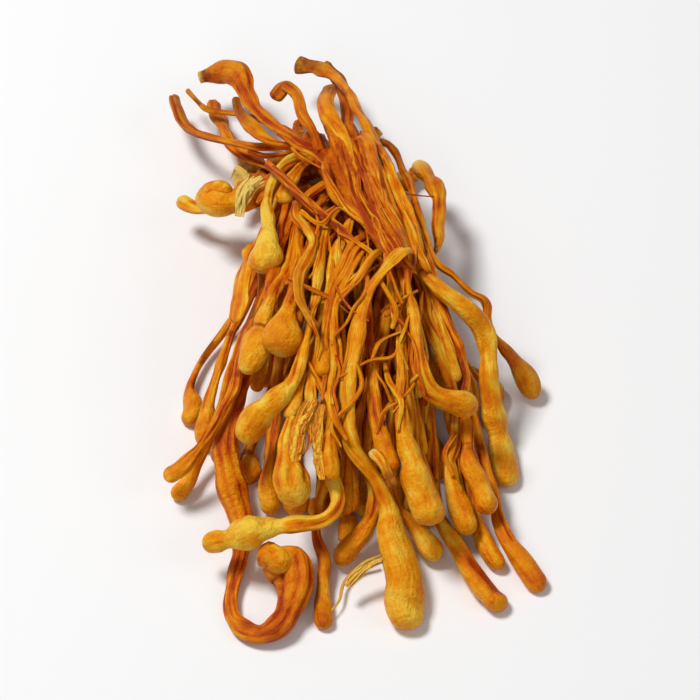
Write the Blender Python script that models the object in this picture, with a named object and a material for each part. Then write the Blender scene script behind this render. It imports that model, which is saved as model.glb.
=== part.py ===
"""Dried cordyceps: one clump of slender orange fungus stems, grown together in a torn foot.

The clump lies on a table. Its foot rests flat at the back, a fused sheet rises from the foot over
the heap, and the stems run from there to their swollen club ends, most of them at the front.
Blender 4.5, metres, +Z up. Run it with blender --background --python part.py, or from the text editor.
"""

import math

import bmesh
import bpy
import numpy as np
from mathutils import Matrix, Vector

# Driving dimensions, in mm
VIEW_TILT = math.radians(50.0)   # the stems are laid out as seen from this far above the table
GAP = 0.42                       # room kept between neighbouring stems
TABLE_PRESS = 0.2                # share of its half width by which a stem on the table is pressed flat
BLUNT_TIP = 0.30                 # half width left at the very tip, as a share of the club's

# How finely the solids are faceted
STEM_SIDES_LEVEL = 1             # bevel level of a stem: six sides
SIX_SIDES_FULLER = 1.05          # makes up for what six flat sides take off a round stem
FOOT_SIDES_LEVEL = 2             # bevel level of a lobe of the foot: eight sides
MM_PER_RING = 7.2                # a straight even stem gets a ring this often
SWELL_PER_RING = 0.62            # a ring for each such change of half width
BEND_PER_RING = 0.62             # a ring for each such bend, in radians
FEWEST_RINGS = 5

CURVE_STEPS = 14                 # steps of the smooth curve between two points, before rings are chosen

MM = 0.001
WELD_DISTANCE = 0.00001
TABLE_CUT_SIZE = 0.1
ORANGE = (0.66, 0.21, 0.006, 1.0)
DEEP_ORANGE = (0.45, 0.10, 0.004, 1.0)
STEM_ROUGHNESS = 0.7
FOOT_ROUGHNESS = 0.8

# Each stem is a list of the points that it passes, from its root to the tip of its club:
# across, up the view, height over the table, half width, all in mm.
BACK_STEMS = {
    "bent_back_stem": [
        (-6.8, 22.6, 8.4, 0.5), (-8.6, 24.2, 8.2, 0.6), (-10.8, 25.8, 7.8, 0.6), (-12.2, 27.6, 7.4, 0.65),
        (-13.2, 30.0, 6.8, 0.8), (-14.6, 31.0, 6.2, 1.05), (-16.4, 30.9, 5.6, 1.2), (-18.4, 30.4, 5.0, 0.85)
    ],
    "blunt_back_stem": [
        (-7.4, 22.0, 7.2, 0.5), (-12.0, 21.8, 6.8, 0.5), (-15.0, 22.4, 6.4, 0.5), (-17.8, 23.4, 6.0, 0.6),
        (-20.0, 24.8, 5.2, 0.75), (-21.2, 26.6, 4.4, 0.8), (-21.4, 28.2, 3.8, 0.7)
    ],
    "knob_back_stem": [
        (-5.6, 23.4, 9.6, 0.5), (-6.8, 25.2, 10.0, 0.6), (-7.5, 27.4, 9.8, 0.65), (-8.6, 28.7, 9.2, 0.8),
        (-10.0, 27.2, 8.6, 0.7)
    ],
    "dark_back_stem": [
        (-8.0, 21.8, 9.4, 0.5), (-10.4, 22.4, 9.8, 0.6), (-12.4, 24.0, 9.8, 0.7), (-13.8, 25.8, 9.4, 0.6),
        (-14.4, 27.6, 9.0, 0.4)
    ],
    "thin_back_stem": [
        (-7.0, 22.6, 5.6, 0.34), (-10.4, 24.8, 5.6, 0.3), (-14.4, 26.0, 5.2, 0.28), (-18.0, 26.6, 4.8, 0.28),
        (-20.2, 29.0, 4.0, 0.34)
    ],
    "stub_back_stem": [
        (-2.4, 21.0, 4.6, 0.5), (-2.0, 25.4, 5.0, 0.55), (-3.2, 29.4, 4.4, 0.6), (-4.6, 31.6, 3.6, 0.75)
    ],
    "low_back_stem": [
        (-9.4, 17.4, 3.2, 0.5), (-13.6, 19.6, 3.0, 0.5), (-16.2, 22.8, 1.6, 0.6), (-17.4, 26.0, 0.6, 0.8)
    ],
}

TOP_STEMS = {
    "long_bow_stem": [
        (-8.0, 31.6, 5.0, 0.9), (-5.0, 30.7, 6.2, 0.6), (-2.6, 28.6, 7.8, 0.55), (-0.4, 24.4, 9.8, 0.5),
        (2.2, 19.6, 11.8, 0.5), (4.4, 13.4, 13.4, 0.55), (6.2, 7.4, 13.4, 0.6), (9.2, 4.6, 12.2, 0.85),
        (11.6, 2.4, 10.8, 1.0), (13.2, 0.0, 8.8, 0.95), (13.7, -3.4, 6.8, 0.8), (14.0, -6.6, 5.0, 0.8),
        (14.4, -8.6, 3.6, 1.2), (15.2, -12.0, 1.8, 1.35), (15.8, -16.2, 0.9, 1.25)
    ],
    "side_club_stem": [
        (0.2, 21.4, 10.6, 0.45), (1.7, 17.4, 12.6, 0.5), (3.2, 13.0, 14.0, 0.5), (4.4, 7.6, 14.6, 0.6),
        (5.0, 3.0, 14.0, 0.6), (5.7, -1.4, 13.0, 0.6), (6.5, -4.6, 12.0, 0.65), (7.8, -6.4, 10.8, 0.85),
        (10.0, -7.4, 9.8, 1.1), (12.4, -7.8, 9.0, 1.0)
    ],
    "far_right_stem": [
        (2.4, 21.8, 9.2, 0.35), (4.2, 18.0, 10.2, 0.4), (5.9, 13.4, 11.0, 0.45), (7.4, 8.4, 11.2, 0.4),
        (9.0, 6.8, 10.6, 0.35), (11.6, 4.6, 9.4, 0.35), (13.5, 3.5, 8.4, 0.4), (13.9, 1.2, 7.4, 0.4),
        (14.8, -0.6, 6.4, 0.45), (16.4, -2.4, 4.6, 0.7), (17.8, -4.2, 2.6, 1.1), (19.2, -6.8, 0.8, 1.2)
    ],
    "light_bow_stem": [
        (4.6, 9.0, 15.6, 0.5), (2.0, 5.9, 15.8, 0.55), (0.4, 3.6, 15.0, 0.65), (-0.2, 1.0, 14.2, 0.75),
        (-0.8, -2.6, 13.0, 0.8), (-1.3, -6.0, 11.6, 0.75), (-1.3, -9.4, 10.0, 0.7), (-0.6, -12.4, 8.6, 0.65),
        (1.2, -14.8, 7.2, 0.65), (2.4, -17.6, 5.6, 0.8), (3.2, -20.4, 4.4, 1.3), (4.1, -24.0, 3.1, 1.75),
        (4.7, -28.0, 1.6, 1.9), (5.0, -30.8, 1.2, 1.8)
    ],
    "right_drop_stem": [
        (3.4, 14.0, 11.0, 0.45), (5.6, 8.0, 12.4, 0.5), (6.8, 3.0, 12.0, 0.5), (8.0, -1.0, 11.0, 0.55),
        (9.2, -4.6, 8.6, 0.5), (9.4, -9.0, 6.6, 0.5), (9.2, -12.4, 5.6, 0.55), (9.2, -15.0, 4.8, 0.75),
        (9.8, -18.0, 3.8, 1.2), (10.8, -20.8, 3.0, 1.15)
    ],
    "right_tuck_stem": [
        (4.2, 13.6, 9.8, 0.45), (6.8, 7.0, 11.2, 0.5), (8.6, 3.0, 10.6, 0.5), (10.0, -1.0, 9.2, 0.55),
        (10.8, -6.0, 7.2, 0.5), (10.9, -12.4, 5.8, 0.65), (11.6, -15.0, 5.0, 1.1), (12.6, -17.4, 4.4, 1.2),
        (13.3, -19.0, 4.0, 1.1)
    ],
    "knuckle_stem": [
        (-1.4, 12.4, 11.4, 0.5), (-3.6, 6.0, 12.4, 0.5), (-4.8, 0.0, 12.0, 0.55), (-5.5, -5.0, 11.0, 0.6),
        (-5.1, -8.6, 9.6, 0.65), (-4.2, -12.0, 8.2, 0.7), (-3.0, -15.4, 7.0, 0.7), (-2.7, -17.4, 6.4, 0.7),
        (-4.0, -19.2, 5.8, 0.75), (-7.0, -19.8, 5.6, 0.8), (-9.6, -20.2, 5.4, 1.2), (-12.6, -20.9, 5.2, 1.35),
        (-15.0, -21.6, 4.6, 1.1), (-17.0, -22.0, 4.0, 0.95)
    ],
    "plump_left_stem": [
        (-3.0, 13.4, 11.6, 0.5), (-4.6, 8.0, 13.4, 0.45), (-5.4, 2.0, 13.6, 0.4), (-6.1, -2.0, 13.0, 0.5),
        (-7.2, -5.0, 12.2, 0.75), (-9.4, -7.2, 11.0, 1.1), (-11.4, -8.8, 9.8, 1.4), (-12.7, -11.4, 8.6, 1.25)
    ],
    "ragged_neck_stem": [
        (-2.6, 11.0, 8.0, 0.5), (-4.6, 4.0, 9.4, 0.5), (-6.0, -3.0, 9.8, 0.5), (-6.7, -8.4, 9.4, 0.6),
        (-7.5, -11.0, 8.8, 1.2), (-7.9, -13.6, 8.2, 1.5), (-7.3, -16.2, 7.6, 1.9), (-6.7, -18.4, 7.0, 1.6)
    ],
    "round_club_stem": [
        (-5.6, 12.6, 10.6, 0.4), (-7.0, 7.0, 13.0, 0.4), (-7.4, 3.6, 14.2, 0.45), (-7.7, 1.6, 13.8, 1.5),
        (-7.9, -0.2, 13.0, 1.8), (-8.0, -2.2, 12.0, 1.4)
    ],
    "oval_club_stem": [
        (-6.4, 15.0, 8.6, 0.45), (-7.8, 9.0, 10.4, 0.5), (-9.6, 4.6, 12.0, 0.55), (-10.8, 2.0, 12.0, 1.0),
        (-11.8, -1.0, 11.4, 1.35), (-12.6, -4.2, 10.0, 1.1)
    ],
    "leaf_stem": [
        (-8.4, 18.0, 6.8, 0.45), (-10.6, 12.0, 8.6, 0.5), (-12.6, 8.0, 10.0, 0.6), (-13.3, 5.0, 10.2, 0.8),
        (-13.8, 1.6, 9.6, 0.5)
    ],
    "pale_bulb_stem": [
        (-7.4, 20.6, 9.4, 0.4), (-9.4, 19.0, 10.4, 0.4), (-10.1, 16.6, 11.4, 0.4), (-10.0, 13.4, 12.2, 0.65),
        (-10.1, 11.4, 12.4, 1.2), (-10.2, 9.2, 12.2, 1.6), (-10.2, 7.2, 11.6, 1.3)
    ],
    "pale_knob_stem": [
        (-6.6, 19.4, 8.2, 0.4), (-7.8, 17.4, 9.6, 0.6), (-8.8, 15.2, 10.0, 0.9)
    ],
    "fat_left_stem": [
        (-6.8, 20.2, 5.4, 0.6), (-10.6, 17.4, 6.8, 0.8), (-13.4, 15.8, 7.6, 1.5), (-15.8, 15.6, 7.4, 1.6),
        (-17.9, 16.8, 7.0, 1.1)
    ],
    "cream_knob_stem": [
        (-8.6, 17.2, 4.4, 0.45), (-13.0, 14.8, 4.8, 0.5), (-17.6, 14.6, 4.6, 0.55), (-19.4, 15.1, 4.4, 0.8),
        (-20.8, 15.8, 4.2, 0.7)
    ],
    "right_hook_stem": [
        (5.8, 9.0, 9.8, 0.4), (7.8, 9.8, 9.4, 0.4), (8.4, 12.4, 8.8, 0.5), (8.7, 15.0, 8.2, 0.65),
        (8.3, 17.2, 7.6, 0.9), (7.3, 19.0, 7.0, 0.9), (6.2, 20.2, 6.6, 0.8)
    ],
    "crossing_stem": [
        (-10.4, 19.4, 11.0, 0.4), (-7.6, 16.2, 12.4, 0.45), (-3.8, 13.0, 13.6, 0.45),
        (-0.4, 10.0, 14.0, 0.45), (0.6, 4.4, 13.0, 0.5), (1.4, -3.0, 11.8, 0.5), (2.2, -8.6, 10.4, 0.6),
        (3.0, -11.8, 9.6, 0.95), (3.6, -14.4, 8.8, 1.0)
    ],
    "mid_club_stem": [
        (-4.4, 19.2, 10.8, 0.4), (-2.8, 15.2, 12.2, 0.45), (0.2, 12.4, 13.6, 0.45), (2.6, 8.4, 14.2, 0.45),
        (3.6, 4.0, 14.4, 0.45), (4.0, 0.0, 13.8, 0.5), (4.1, -5.0, 12.6, 0.5), (4.5, -10.0, 10.8, 0.7),
        (5.4, -14.0, 9.2, 1.4), (6.4, -17.0, 8.0, 1.6), (7.4, -20.0, 7.0, 1.3)
    ],
    "zigzag_stem": [
        (1.4, 8.8, 15.0, 0.4), (-0.6, 5.9, 14.2, 0.4), (-2.3, 4.0, 13.8, 0.4), (-3.0, 0.0, 13.2, 0.4),
        (-2.9, -5.0, 12.0, 0.45), (-3.2, -10.0, 10.6, 0.5), (-3.0, -13.0, 9.6, 0.8), (-3.1, -15.4, 8.8, 0.8)
    ],
    "kinked_stem": [
        (-6.8, 14.8, 11.0, 0.4), (-6.4, 12.8, 12.4, 0.5), (-5.0, 11.2, 13.4, 0.5), (-5.1, 9.0, 13.8, 0.5),
        (-6.2, 6.2, 14.4, 0.5), (-5.8, 3.2, 14.8, 0.4), (-4.4, 0.6, 14.6, 0.45)
    ],
    "small_club_stem": [
        (2.0, 10.0, 8.0, 0.4), (0.6, 0.0, 8.6, 0.4), (-1.4, -9.0, 7.2, 0.4), (-3.6, -16.4, 4.4, 0.4),
        (-4.6, -21.0, 3.0, 0.45), (-3.9, -24.4, 1.8, 0.6), (-3.9, -27.4, 0.9, 0.65), (-3.9, -29.4, 0.6, 1.0),
        (-3.7, -31.0, 0.6, 0.9)
    ],
    "loop_stem": [
        (-4.0, 14.0, 5.6, 0.5), (-8.6, 5.0, 7.6, 0.5), (-12.2, -4.0, 7.4, 0.55), (-14.2, -10.0, 6.2, 0.8),
        (-13.8, -14.4, 4.4, 1.3), (-13.0, -18.2, 2.8, 1.4), (-12.4, -21.4, 1.8, 0.9),
        (-12.9, -24.2, 1.2, 0.6), (-13.9, -27.4, 0.6, 0.65), (-13.6, -30.2, 0.4, 0.75),
        (-11.2, -31.7, 0.5, 0.9), (-8.7, -30.8, 0.8, 1.3), (-7.2, -28.4, 1.4, 1.65), (-7.3, -25.6, 2.4, 1.95),
        (-9.3, -22.6, 3.6, 1.9)
    ],
    "front_left_stem": [
        (3.0, 8.0, 9.4, 0.4), (2.4, 0.0, 9.8, 0.45), (1.0, -8.0, 8.0, 0.45), (0.6, -14.0, 5.4, 0.45),
        (1.2, -18.2, 3.6, 0.55), (0.2, -20.8, 2.8, 0.9), (-1.5, -22.8, 1.5, 1.2), (-2.9, -24.0, 0.9, 1.1)
    ],
    "front_right_stem": [
        (4.6, 8.0, 8.6, 0.4), (4.4, 0.0, 8.8, 0.45), (3.4, -8.0, 7.2, 0.45), (2.9, -14.0, 4.6, 0.5),
        (3.4, -18.2, 3.0, 0.6), (5.4, -20.2, 2.0, 0.85), (6.9, -22.0, 1.3, 1.1), (8.3, -23.8, 0.8, 1.1)
    ],
    "spoon_club_stem": [
        (5.6, 8.0, 10.0, 0.4), (6.4, 0.0, 9.0, 0.45), (7.0, -8.0, 7.0, 0.45), (7.4, -15.0, 4.0, 0.5),
        (8.7, -20.0, 2.4, 0.65), (10.4, -23.2, 1.8, 0.95), (12.3, -26.0, 1.1, 1.3), (15.0, -28.6, 0.8, 1.2)
    ],
    "far_club_stem": [
        (6.8, 8.0, 9.2, 0.4), (8.8, 1.0, 8.4, 0.45), (11.8, -8.0, 5.6, 0.45), (13.2, -15.0, 3.4, 0.5),
        (14.4, -19.8, 2.2, 0.55), (15.6, -22.6, 1.6, 0.75), (17.0, -24.6, 0.9, 1.1), (18.8, -27.2, 0.6, 1.0)
    ],
    "tucked_club_stem": [
        (6.2, 9.0, 8.0, 0.4), (7.8, 1.0, 7.2, 0.45), (9.8, -8.0, 4.8, 0.45), (11.0, -14.6, 2.8, 0.5),
        (12.0, -19.8, 1.6, 0.75), (13.4, -22.4, 1.2, 0.95), (14.8, -24.6, 1.0, 0.9)
    ],
    "left_sweep_stem": [
        (-7.0, 13.0, 5.4, 0.45), (-10.0, 6.0, 7.8, 0.45), (-12.4, 0.0, 8.8, 0.45), (-13.8, -5.0, 8.4, 0.45),
        (-15.6, -9.6, 7.0, 0.45), (-18.0, -13.0, 5.4, 0.5), (-20.0, -14.6, 4.4, 0.8),
        (-21.4, -15.4, 3.8, 0.8)
    ],
    "left_low_stem": [
        (-8.4, 13.6, 3.2, 0.4), (-11.4, 5.0, 5.2, 0.45), (-14.2, -2.0, 5.8, 0.45), (-15.6, -7.0, 5.0, 0.45),
        (-17.4, -12.0, 3.0, 0.5), (-19.0, -15.4, 1.6, 0.7), (-20.6, -17.4, 0.6, 0.9)
    ],
    "inner_drop_stem": [
        (5.0, 8.0, 11.4, 0.45), (5.4, 2.0, 11.8, 0.45), (5.6, -4.0, 10.4, 0.5), (6.2, -10.0, 8.0, 0.5),
        (7.2, -14.4, 6.0, 0.6), (8.0, -17.4, 4.8, 1.1), (8.6, -19.6, 4.0, 1.1)
    ],
    "inner_left_stem": [
        (-3.2, 10.4, 12.6, 0.4), (-4.0, 4.2, 11.6, 0.45), (-4.0, -1.0, 10.8, 0.45), (-3.4, -7.0, 9.0, 0.5),
        (-2.0, -12.0, 6.2, 0.5), (-1.2, -16.0, 4.4, 0.8), (-1.4, -18.6, 3.4, 1.0)
    ],
}

# The lobes that are fused in the foot and its sheet, in the same terms
FOOT_LOBES = [
    [(-13.2, 16.4, 1.0, 1.3), (-10.4, 18.2, 1.3, 2.2), (-6.0, 19.6, 1.7, 2.7), (-1.6, 19.2, 1.9, 2.9),
     (2.4, 16.4, 1.5, 2.3), (4.8, 12.8, 1.0, 1.4)],
    [(-9.8, 15.2, 0.8, 1.4), (-5.0, 16.6, 1.2, 2.2), (-0.4, 15.6, 1.2, 2.3), (3.2, 12.0, 0.9, 1.4)],
    [(-3.4, 20.0, 2.4, 2.2), (-4.8, 21.6, 5.4, 1.8), (-5.6, 22.6, 7.8, 1.3), (-5.8, 23.0, 8.8, 0.8)],
    [(-1.2, 18.4, 2.4, 2.4), (0.0, 16.6, 5.6, 1.8), (1.2, 14.0, 8.6, 1.5), (2.6, 11.0, 10.8, 1.2)],
    [(-3.8, 28.8, 8.0, 0.5), (-4.1, 26.6, 8.6, 0.9), (-2.8, 23.0, 9.2, 1.1), (-1.1, 19.0, 10.4, 1.2),
     (0.4, 15.0, 11.6, 1.2), (2.6, 11.0, 12.4, 1.1), (4.4, 7.8, 12.8, 0.7)],
    [(-1.4, 24.2, 9.0, 0.7), (0.0, 20.4, 10.2, 1.1), (1.8, 16.0, 11.4, 1.2), (3.4, 12.0, 12.2, 1.1),
     (5.0, 8.4, 12.6, 0.7)],
    [(0.9, 22.4, 9.2, 0.5), (2.0, 19.4, 10.0, 0.9), (3.3, 15.6, 10.8, 1.0), (4.6, 12.0, 11.6, 0.9),
     (5.8, 8.8, 11.8, 0.6)],
    [(-4.8, 21.8, 7.6, 1.0), (-3.2, 18.0, 9.2, 1.2), (-1.6, 14.4, 10.4, 1.2), (0.8, 11.0, 11.6, 1.0),
     (3.2, 8.2, 12.0, 0.7)],
]

FRONT_EDGE_LOBE = 1   # the lobe that the stems under the heap grow from

# Broken stem ends and torn rags round the foot's edge
FOOT_STUBS = [
    [(-10.6, 18.4, 1.4, 1.5), (-12.6, 20.2, 1.4, 1.0), (-14.0, 22.4, 0.9, 0.6)],
    [(-6.6, 20.6, 1.8, 1.9), (-7.4, 23.2, 1.6, 1.0), (-7.0, 25.6, 1.1, 0.7)],
    [(-1.2, 20.4, 1.9, 2.0), (0.4, 23.0, 1.6, 1.0), (2.2, 24.4, 1.2, 0.6)],
    [(2.8, 17.2, 1.6, 1.7), (5.4, 18.0, 1.5, 0.9), (7.0, 20.0, 1.0, 0.6)],
    [(-10.4, 18.4, 2.2, 1.5), (-12.8, 17.4, 3.6, 1.0), (-14.6, 15.6, 4.4, 0.5)],
]

# The stems under the heap: they start at the foot's front edge, fan out and lie down at the front
UNDER_STEMS = 19
UNDER_SEED = 11
UNDER_ROOT_SPAN = (-9.5, 3.6)     # where the roots start along the foot
UNDER_TIP_SPAN = (-18.0, 15.5)    # where the clubs end across the front
UNDER_TIP_DEPTH = (-12.0, -31.0)  # how far forward the clubs reach, at the sides and in the middle
UNDER_LAYER_HEIGHTS = (1.6, 4.2, 6.6)
UNDER_STEM_HALVES = (0.42, 0.6)   # half widths of their stems and of their clubs
UNDER_CLUB_HALVES = (0.9, 1.5)
UNDER_SWAY = 1.5                  # how far a stem swings to the sides
UNDER_TIP_SCATTER = 1.2
UNDER_REACH_SHARES = (0.7, 1.0)   # how much of the full reach a stem may have

# How the stems are eased apart where they would run through each other
SPACING_ROUNDS = 420
SMOOTHING_ROUNDS = 330            # so many of them also keep each stem's line smooth
ROUNDS_PER_SEARCH = 10            # the neighbours are looked for again this often
NEIGHBOUR_REACH = 1.5
PUSH = 0.4                        # share of what a pair is short of that each of the two moves a round
LONGEST_SHIFT = 0.4
SMOOTHING = 0.25


def placed(across, up, height):
    """Turn a place in the tilted view, and its height over the table, into x, y and z."""
    return across, (up - height * math.cos(VIEW_TILT)) / math.sin(VIEW_TILT), height


def in_space(view_points):
    """Return a stem's view points as rows of x, y, z and half width."""
    return np.array([(*placed(across, up, height), half) for across, up, height, half in view_points])


def smooth_route(keys):
    """Run a smooth curve through the key rows, evenly stepped between each pair."""
    padded = np.vstack([2 * keys[0] - keys[1], keys, 2 * keys[-1] - keys[-2]])
    rows = []
    for before, start, end, after in zip(padded, padded[1:], padded[2:], padded[3:]):
        for step in range(CURVE_STEPS):
            t = step / CURVE_STEPS
            rows.append(0.5 * (2 * start + (end - before) * t
                               + (2 * before - 5 * start + 4 * end - after) * t ** 2
                               + (3 * start - before - 3 * end + after) * t ** 3))
    rows.append(padded[-2])
    return np.array(rows)


def rounded_tip(route, half_width):
    """Round off the end of a route over one half width."""
    steps = np.linalg.norm(np.diff(route[:, :3], axis=0), axis=1)
    to_tip = np.append(np.cumsum(steps[::-1])[::-1], 0.0)
    share = np.clip(1.0 - to_tip / half_width, 0.0, 1.0)
    return np.maximum(np.sqrt(1.0 - share ** 2), BLUNT_TIP)


def ringed(keys):
    """Choose the rings of a stem: more of them where it bends or swells."""
    route = smooth_route(keys)
    route[:, 3] *= rounded_tip(route, keys[-1, 3])
    moves = np.diff(route[:, :3], axis=0)
    lengths = np.maximum(np.linalg.norm(moves, axis=1), 1e-9)
    headings = moves / lengths[:, None]
    turns = np.linalg.norm(np.diff(headings, axis=0, append=headings[-1:]), axis=1)
    swells = np.abs(np.diff(route[:, 3]))
    need = np.append(0.0, np.cumsum(lengths / MM_PER_RING + turns / BEND_PER_RING + swells / SWELL_PER_RING))
    count = max(FEWEST_RINGS, round(need[-1]) + 1)
    wanted = np.linspace(0.0, need[-1], count)
    return np.column_stack([np.interp(wanted, need, route[:, column]) for column in range(4)])


def under_stem_keys(edge):
    """Lay out the stems under the heap, from the lobe at the foot's front edge to the front rim."""
    chance = np.random.default_rng(UNDER_SEED)
    stems = {}
    for index in range(UNDER_STEMS):
        share = (index + 0.5) / UNDER_STEMS
        layer = UNDER_LAYER_HEIGHTS[index % len(UNDER_LAYER_HEIGHTS)]
        root_x = np.interp(share, (0, 1), UNDER_ROOT_SPAN)
        root_y, root_z, edge_half = (np.interp(root_x, edge[:, 0], edge[:, column]) for column in (1, 2, 3))
        scatter = chance.uniform(-UNDER_TIP_SCATTER, UNDER_TIP_SCATTER)
        tip_x = np.interp(share, (0, 1), UNDER_TIP_SPAN) + scatter
        reach = math.sin(math.pi * share) * chance.uniform(*UNDER_REACH_SHARES)
        tip_y = np.interp(reach, (0, 1), UNDER_TIP_DEPTH)
        club = chance.uniform(*UNDER_CLUB_HALVES)
        stem = chance.uniform(*UNDER_STEM_HALVES)
        sway = chance.uniform(-UNDER_SWAY, UNDER_SWAY, 3)
        lead = tip_x - root_x
        spread = tip_y - root_y
        stems[f"under_stem_{index + 1:02d}"] = np.array([
            (root_x, root_y - edge_half, root_z + 0.3 * layer, stem),
            (root_x + 0.16 * lead + 0.5 * sway[0], root_y + 0.22 * spread, layer + 1.0, stem),
            (root_x + 0.42 * lead + sway[1], root_y + 0.42 * spread, layer + 1.2, stem),
            (root_x + 0.68 * lead + sway[2], root_y + 0.64 * spread, 0.8 * layer, stem),
            (tip_x + 0.4 * sway[0], tip_y + 5.5, 0.4 * layer + 0.6, stem),
            (tip_x, tip_y + 2.6, 0.15 * layer + 0.6 * club, club),
            (tip_x - 0.3 * sway[1], tip_y, 0.5 * club, club * 0.9)])
    return stems


def nearest_shares(start_a, move_a, start_b, move_b):
    """Return how far along each of two sets of straight runs their nearest points are, from 0 to 1."""
    between = start_a - start_b
    aa = np.maximum((move_a * move_a).sum(1), 1e-9)
    bb = np.maximum((move_b * move_b).sum(1), 1e-9)
    ab = (move_a * move_b).sum(1)
    at_a = (move_a * between).sum(1)
    at_b = (move_b * between).sum(1)
    share_a = np.clip((ab * at_b - at_a * bb) / np.maximum(aa * bb - ab * ab, 1e-9), 0.0, 1.0)
    share_b = np.clip((ab * share_a + at_b) / bb, 0.0, 1.0)
    share_a = np.clip((ab * share_b - at_a) / aa, 0.0, 1.0)
    return share_a, share_b


def neighbouring_runs(rows, runs, owners, fixed):
    """List the pairs of straight runs of different stems that lie near each other."""
    start, end = rows[runs[:, 0]], rows[runs[:, 1]]
    middle = 0.5 * (start[:, :3] + end[:, :3])
    reach = 0.5 * np.linalg.norm(end[:, :3] - start[:, :3], axis=1) + np.maximum(start[:, 3], end[:, 3])
    first, second = np.triu_indices(len(runs), 1)
    apart = np.linalg.norm(middle[first] - middle[second], axis=1)
    near = apart < reach[first] + reach[second] + GAP + NEIGHBOUR_REACH
    near &= owners[first] != owners[second]
    near &= ~(fixed[first] & fixed[second])
    return first[near], second[near]


def away_shifts(rows, runs, first, second, fixed):
    """Work out how each row has to move so that the listed pairs of runs part by GAP."""
    start_a, end_a = rows[runs[first, 0]], rows[runs[first, 1]]
    start_b, end_b = rows[runs[second, 0]], rows[runs[second, 1]]
    share_a, share_b = nearest_shares(start_a[:, :3], (end_a - start_a)[:, :3],
                                      start_b[:, :3], (end_b - start_b)[:, :3])
    point_a = start_a + share_a[:, None] * (end_a - start_a)
    point_b = start_b + share_b[:, None] * (end_b - start_b)
    away = point_a[:, :3] - point_b[:, :3]
    apart = np.maximum(np.linalg.norm(away, axis=1), 1e-6)
    short = np.maximum(point_a[:, 3] + point_b[:, 3] + GAP - apart, 0.0)
    push = away * (PUSH * short / apart)[:, None]
    push_a = np.where(fixed[second], 2.0, 1.0)[:, None] * push
    push_b = np.where(fixed[first], 2.0, 1.0)[:, None] * push
    shift = np.zeros((len(rows), 3))
    for ends, share, give in ((runs[first], share_a, push_a), (runs[second], share_b, -push_b)):
        np.add.at(shift, ends[:, 0], (1.0 - share)[:, None] * give)
        np.add.at(shift, ends[:, 1], share[:, None] * give)
    size = np.maximum(np.linalg.norm(shift, axis=1), 1e-9)
    return shift * np.minimum(1.0, LONGEST_SHIFT / size)[:, None]


def spaced_out(stems, lobes):
    """Ease the stems apart until each keeps GAP to its neighbours and to the lobes, above the table."""
    chains = stems + lobes
    rows = np.vstack(chains)
    counts = np.array([len(chain) for chain in chains])
    firsts = np.cumsum(counts) - counts
    lasts = firsts + counts - 1
    runs = np.array([(row, row + 1) for first, last in zip(firsts, lasts) for row in range(first, last)])
    owners = np.repeat(np.arange(len(chains)), counts - 1)
    fixed = owners >= len(stems)
    loose = firsts[len(stems)]
    before = np.arange(len(rows)) - 1
    after = np.arange(len(rows)) + 1
    before[firsts] = firsts
    after[lasts] = lasts
    original = rows[:, :3].copy()
    lowest = rows[:loose, 3] * (1.0 - TABLE_PRESS)
    for turn in range(SPACING_ROUNDS):
        if turn % ROUNDS_PER_SEARCH == 0:
            first, second = neighbouring_runs(rows, runs, owners, fixed)
        rows[:loose, :3] += away_shifts(rows, runs, first, second, fixed)[:loose]
        if turn < SMOOTHING_ROUNDS:
            moved = rows[:, :3] - original
            eased = 0.5 * (moved[before] + moved[after]) - moved
            rows[:loose, :3] += SMOOTHING * eased[:loose]
        rows[:loose, 2] = np.maximum(rows[:loose, 2], lowest)
    return np.split(rows[:loose], firsts[1:len(stems)])


def clear_scene():
    """Remove what the new file opens with."""
    for thing in list(bpy.data.objects):
        bpy.data.objects.remove(thing)


def plain_material(name, colour, roughness):
    """Return a material with one colour."""
    material = bpy.data.materials.new(name)
    material.use_nodes = True
    shader = material.node_tree.nodes["Principled BSDF"]
    shader.inputs["Base Color"].default_value = colour
    shader.inputs["Roughness"].default_value = roughness
    shader.inputs["Metallic"].default_value = 0.0
    return material


def tube(name, rows, level, collection):
    """Make a closed tube through the rows, half as wide as their last column, as a mesh in metres."""
    curve = bpy.data.curves.new(name + "_line", "CURVE")
    curve.dimensions = "3D"
    curve.bevel_depth = MM * (SIX_SIDES_FULLER if level == STEM_SIDES_LEVEL else 1.0)
    curve.bevel_resolution = level
    curve.use_fill_caps = True
    spline = curve.splines.new("POLY")
    spline.points.add(len(rows) - 1)
    for point, (x, y, z, half) in zip(spline.points, rows):
        point.co = (x * MM, y * MM, z * MM, 1.0)
        point.radius = half
    line = bpy.data.objects.new(name + "_line", curve)
    collection.objects.link(line)
    bpy.context.view_layer.update()
    evaluated = line.evaluated_get(bpy.context.evaluated_depsgraph_get())
    mesh = bpy.data.meshes.new_from_object(evaluated)
    body = bpy.data.objects.new(name, mesh)
    body.matrix_world = line.matrix_world
    collection.objects.link(body)
    bpy.data.objects.remove(line)
    weld(mesh)
    return body


def weld(mesh):
    """Join the loose caps to the tube and turn every face outwards."""
    shape = bmesh.new()
    shape.from_mesh(mesh)
    bmesh.ops.remove_doubles(shape, verts=shape.verts, dist=WELD_DISTANCE)
    bmesh.ops.recalc_face_normals(shape, faces=shape.faces)
    shape.to_mesh(mesh)
    shape.free()


def press_on_table(mesh):
    """Flatten what would sink below the table."""
    for vertex in mesh.vertices:
        vertex.co.z = max(vertex.co.z, 0.0)


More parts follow.
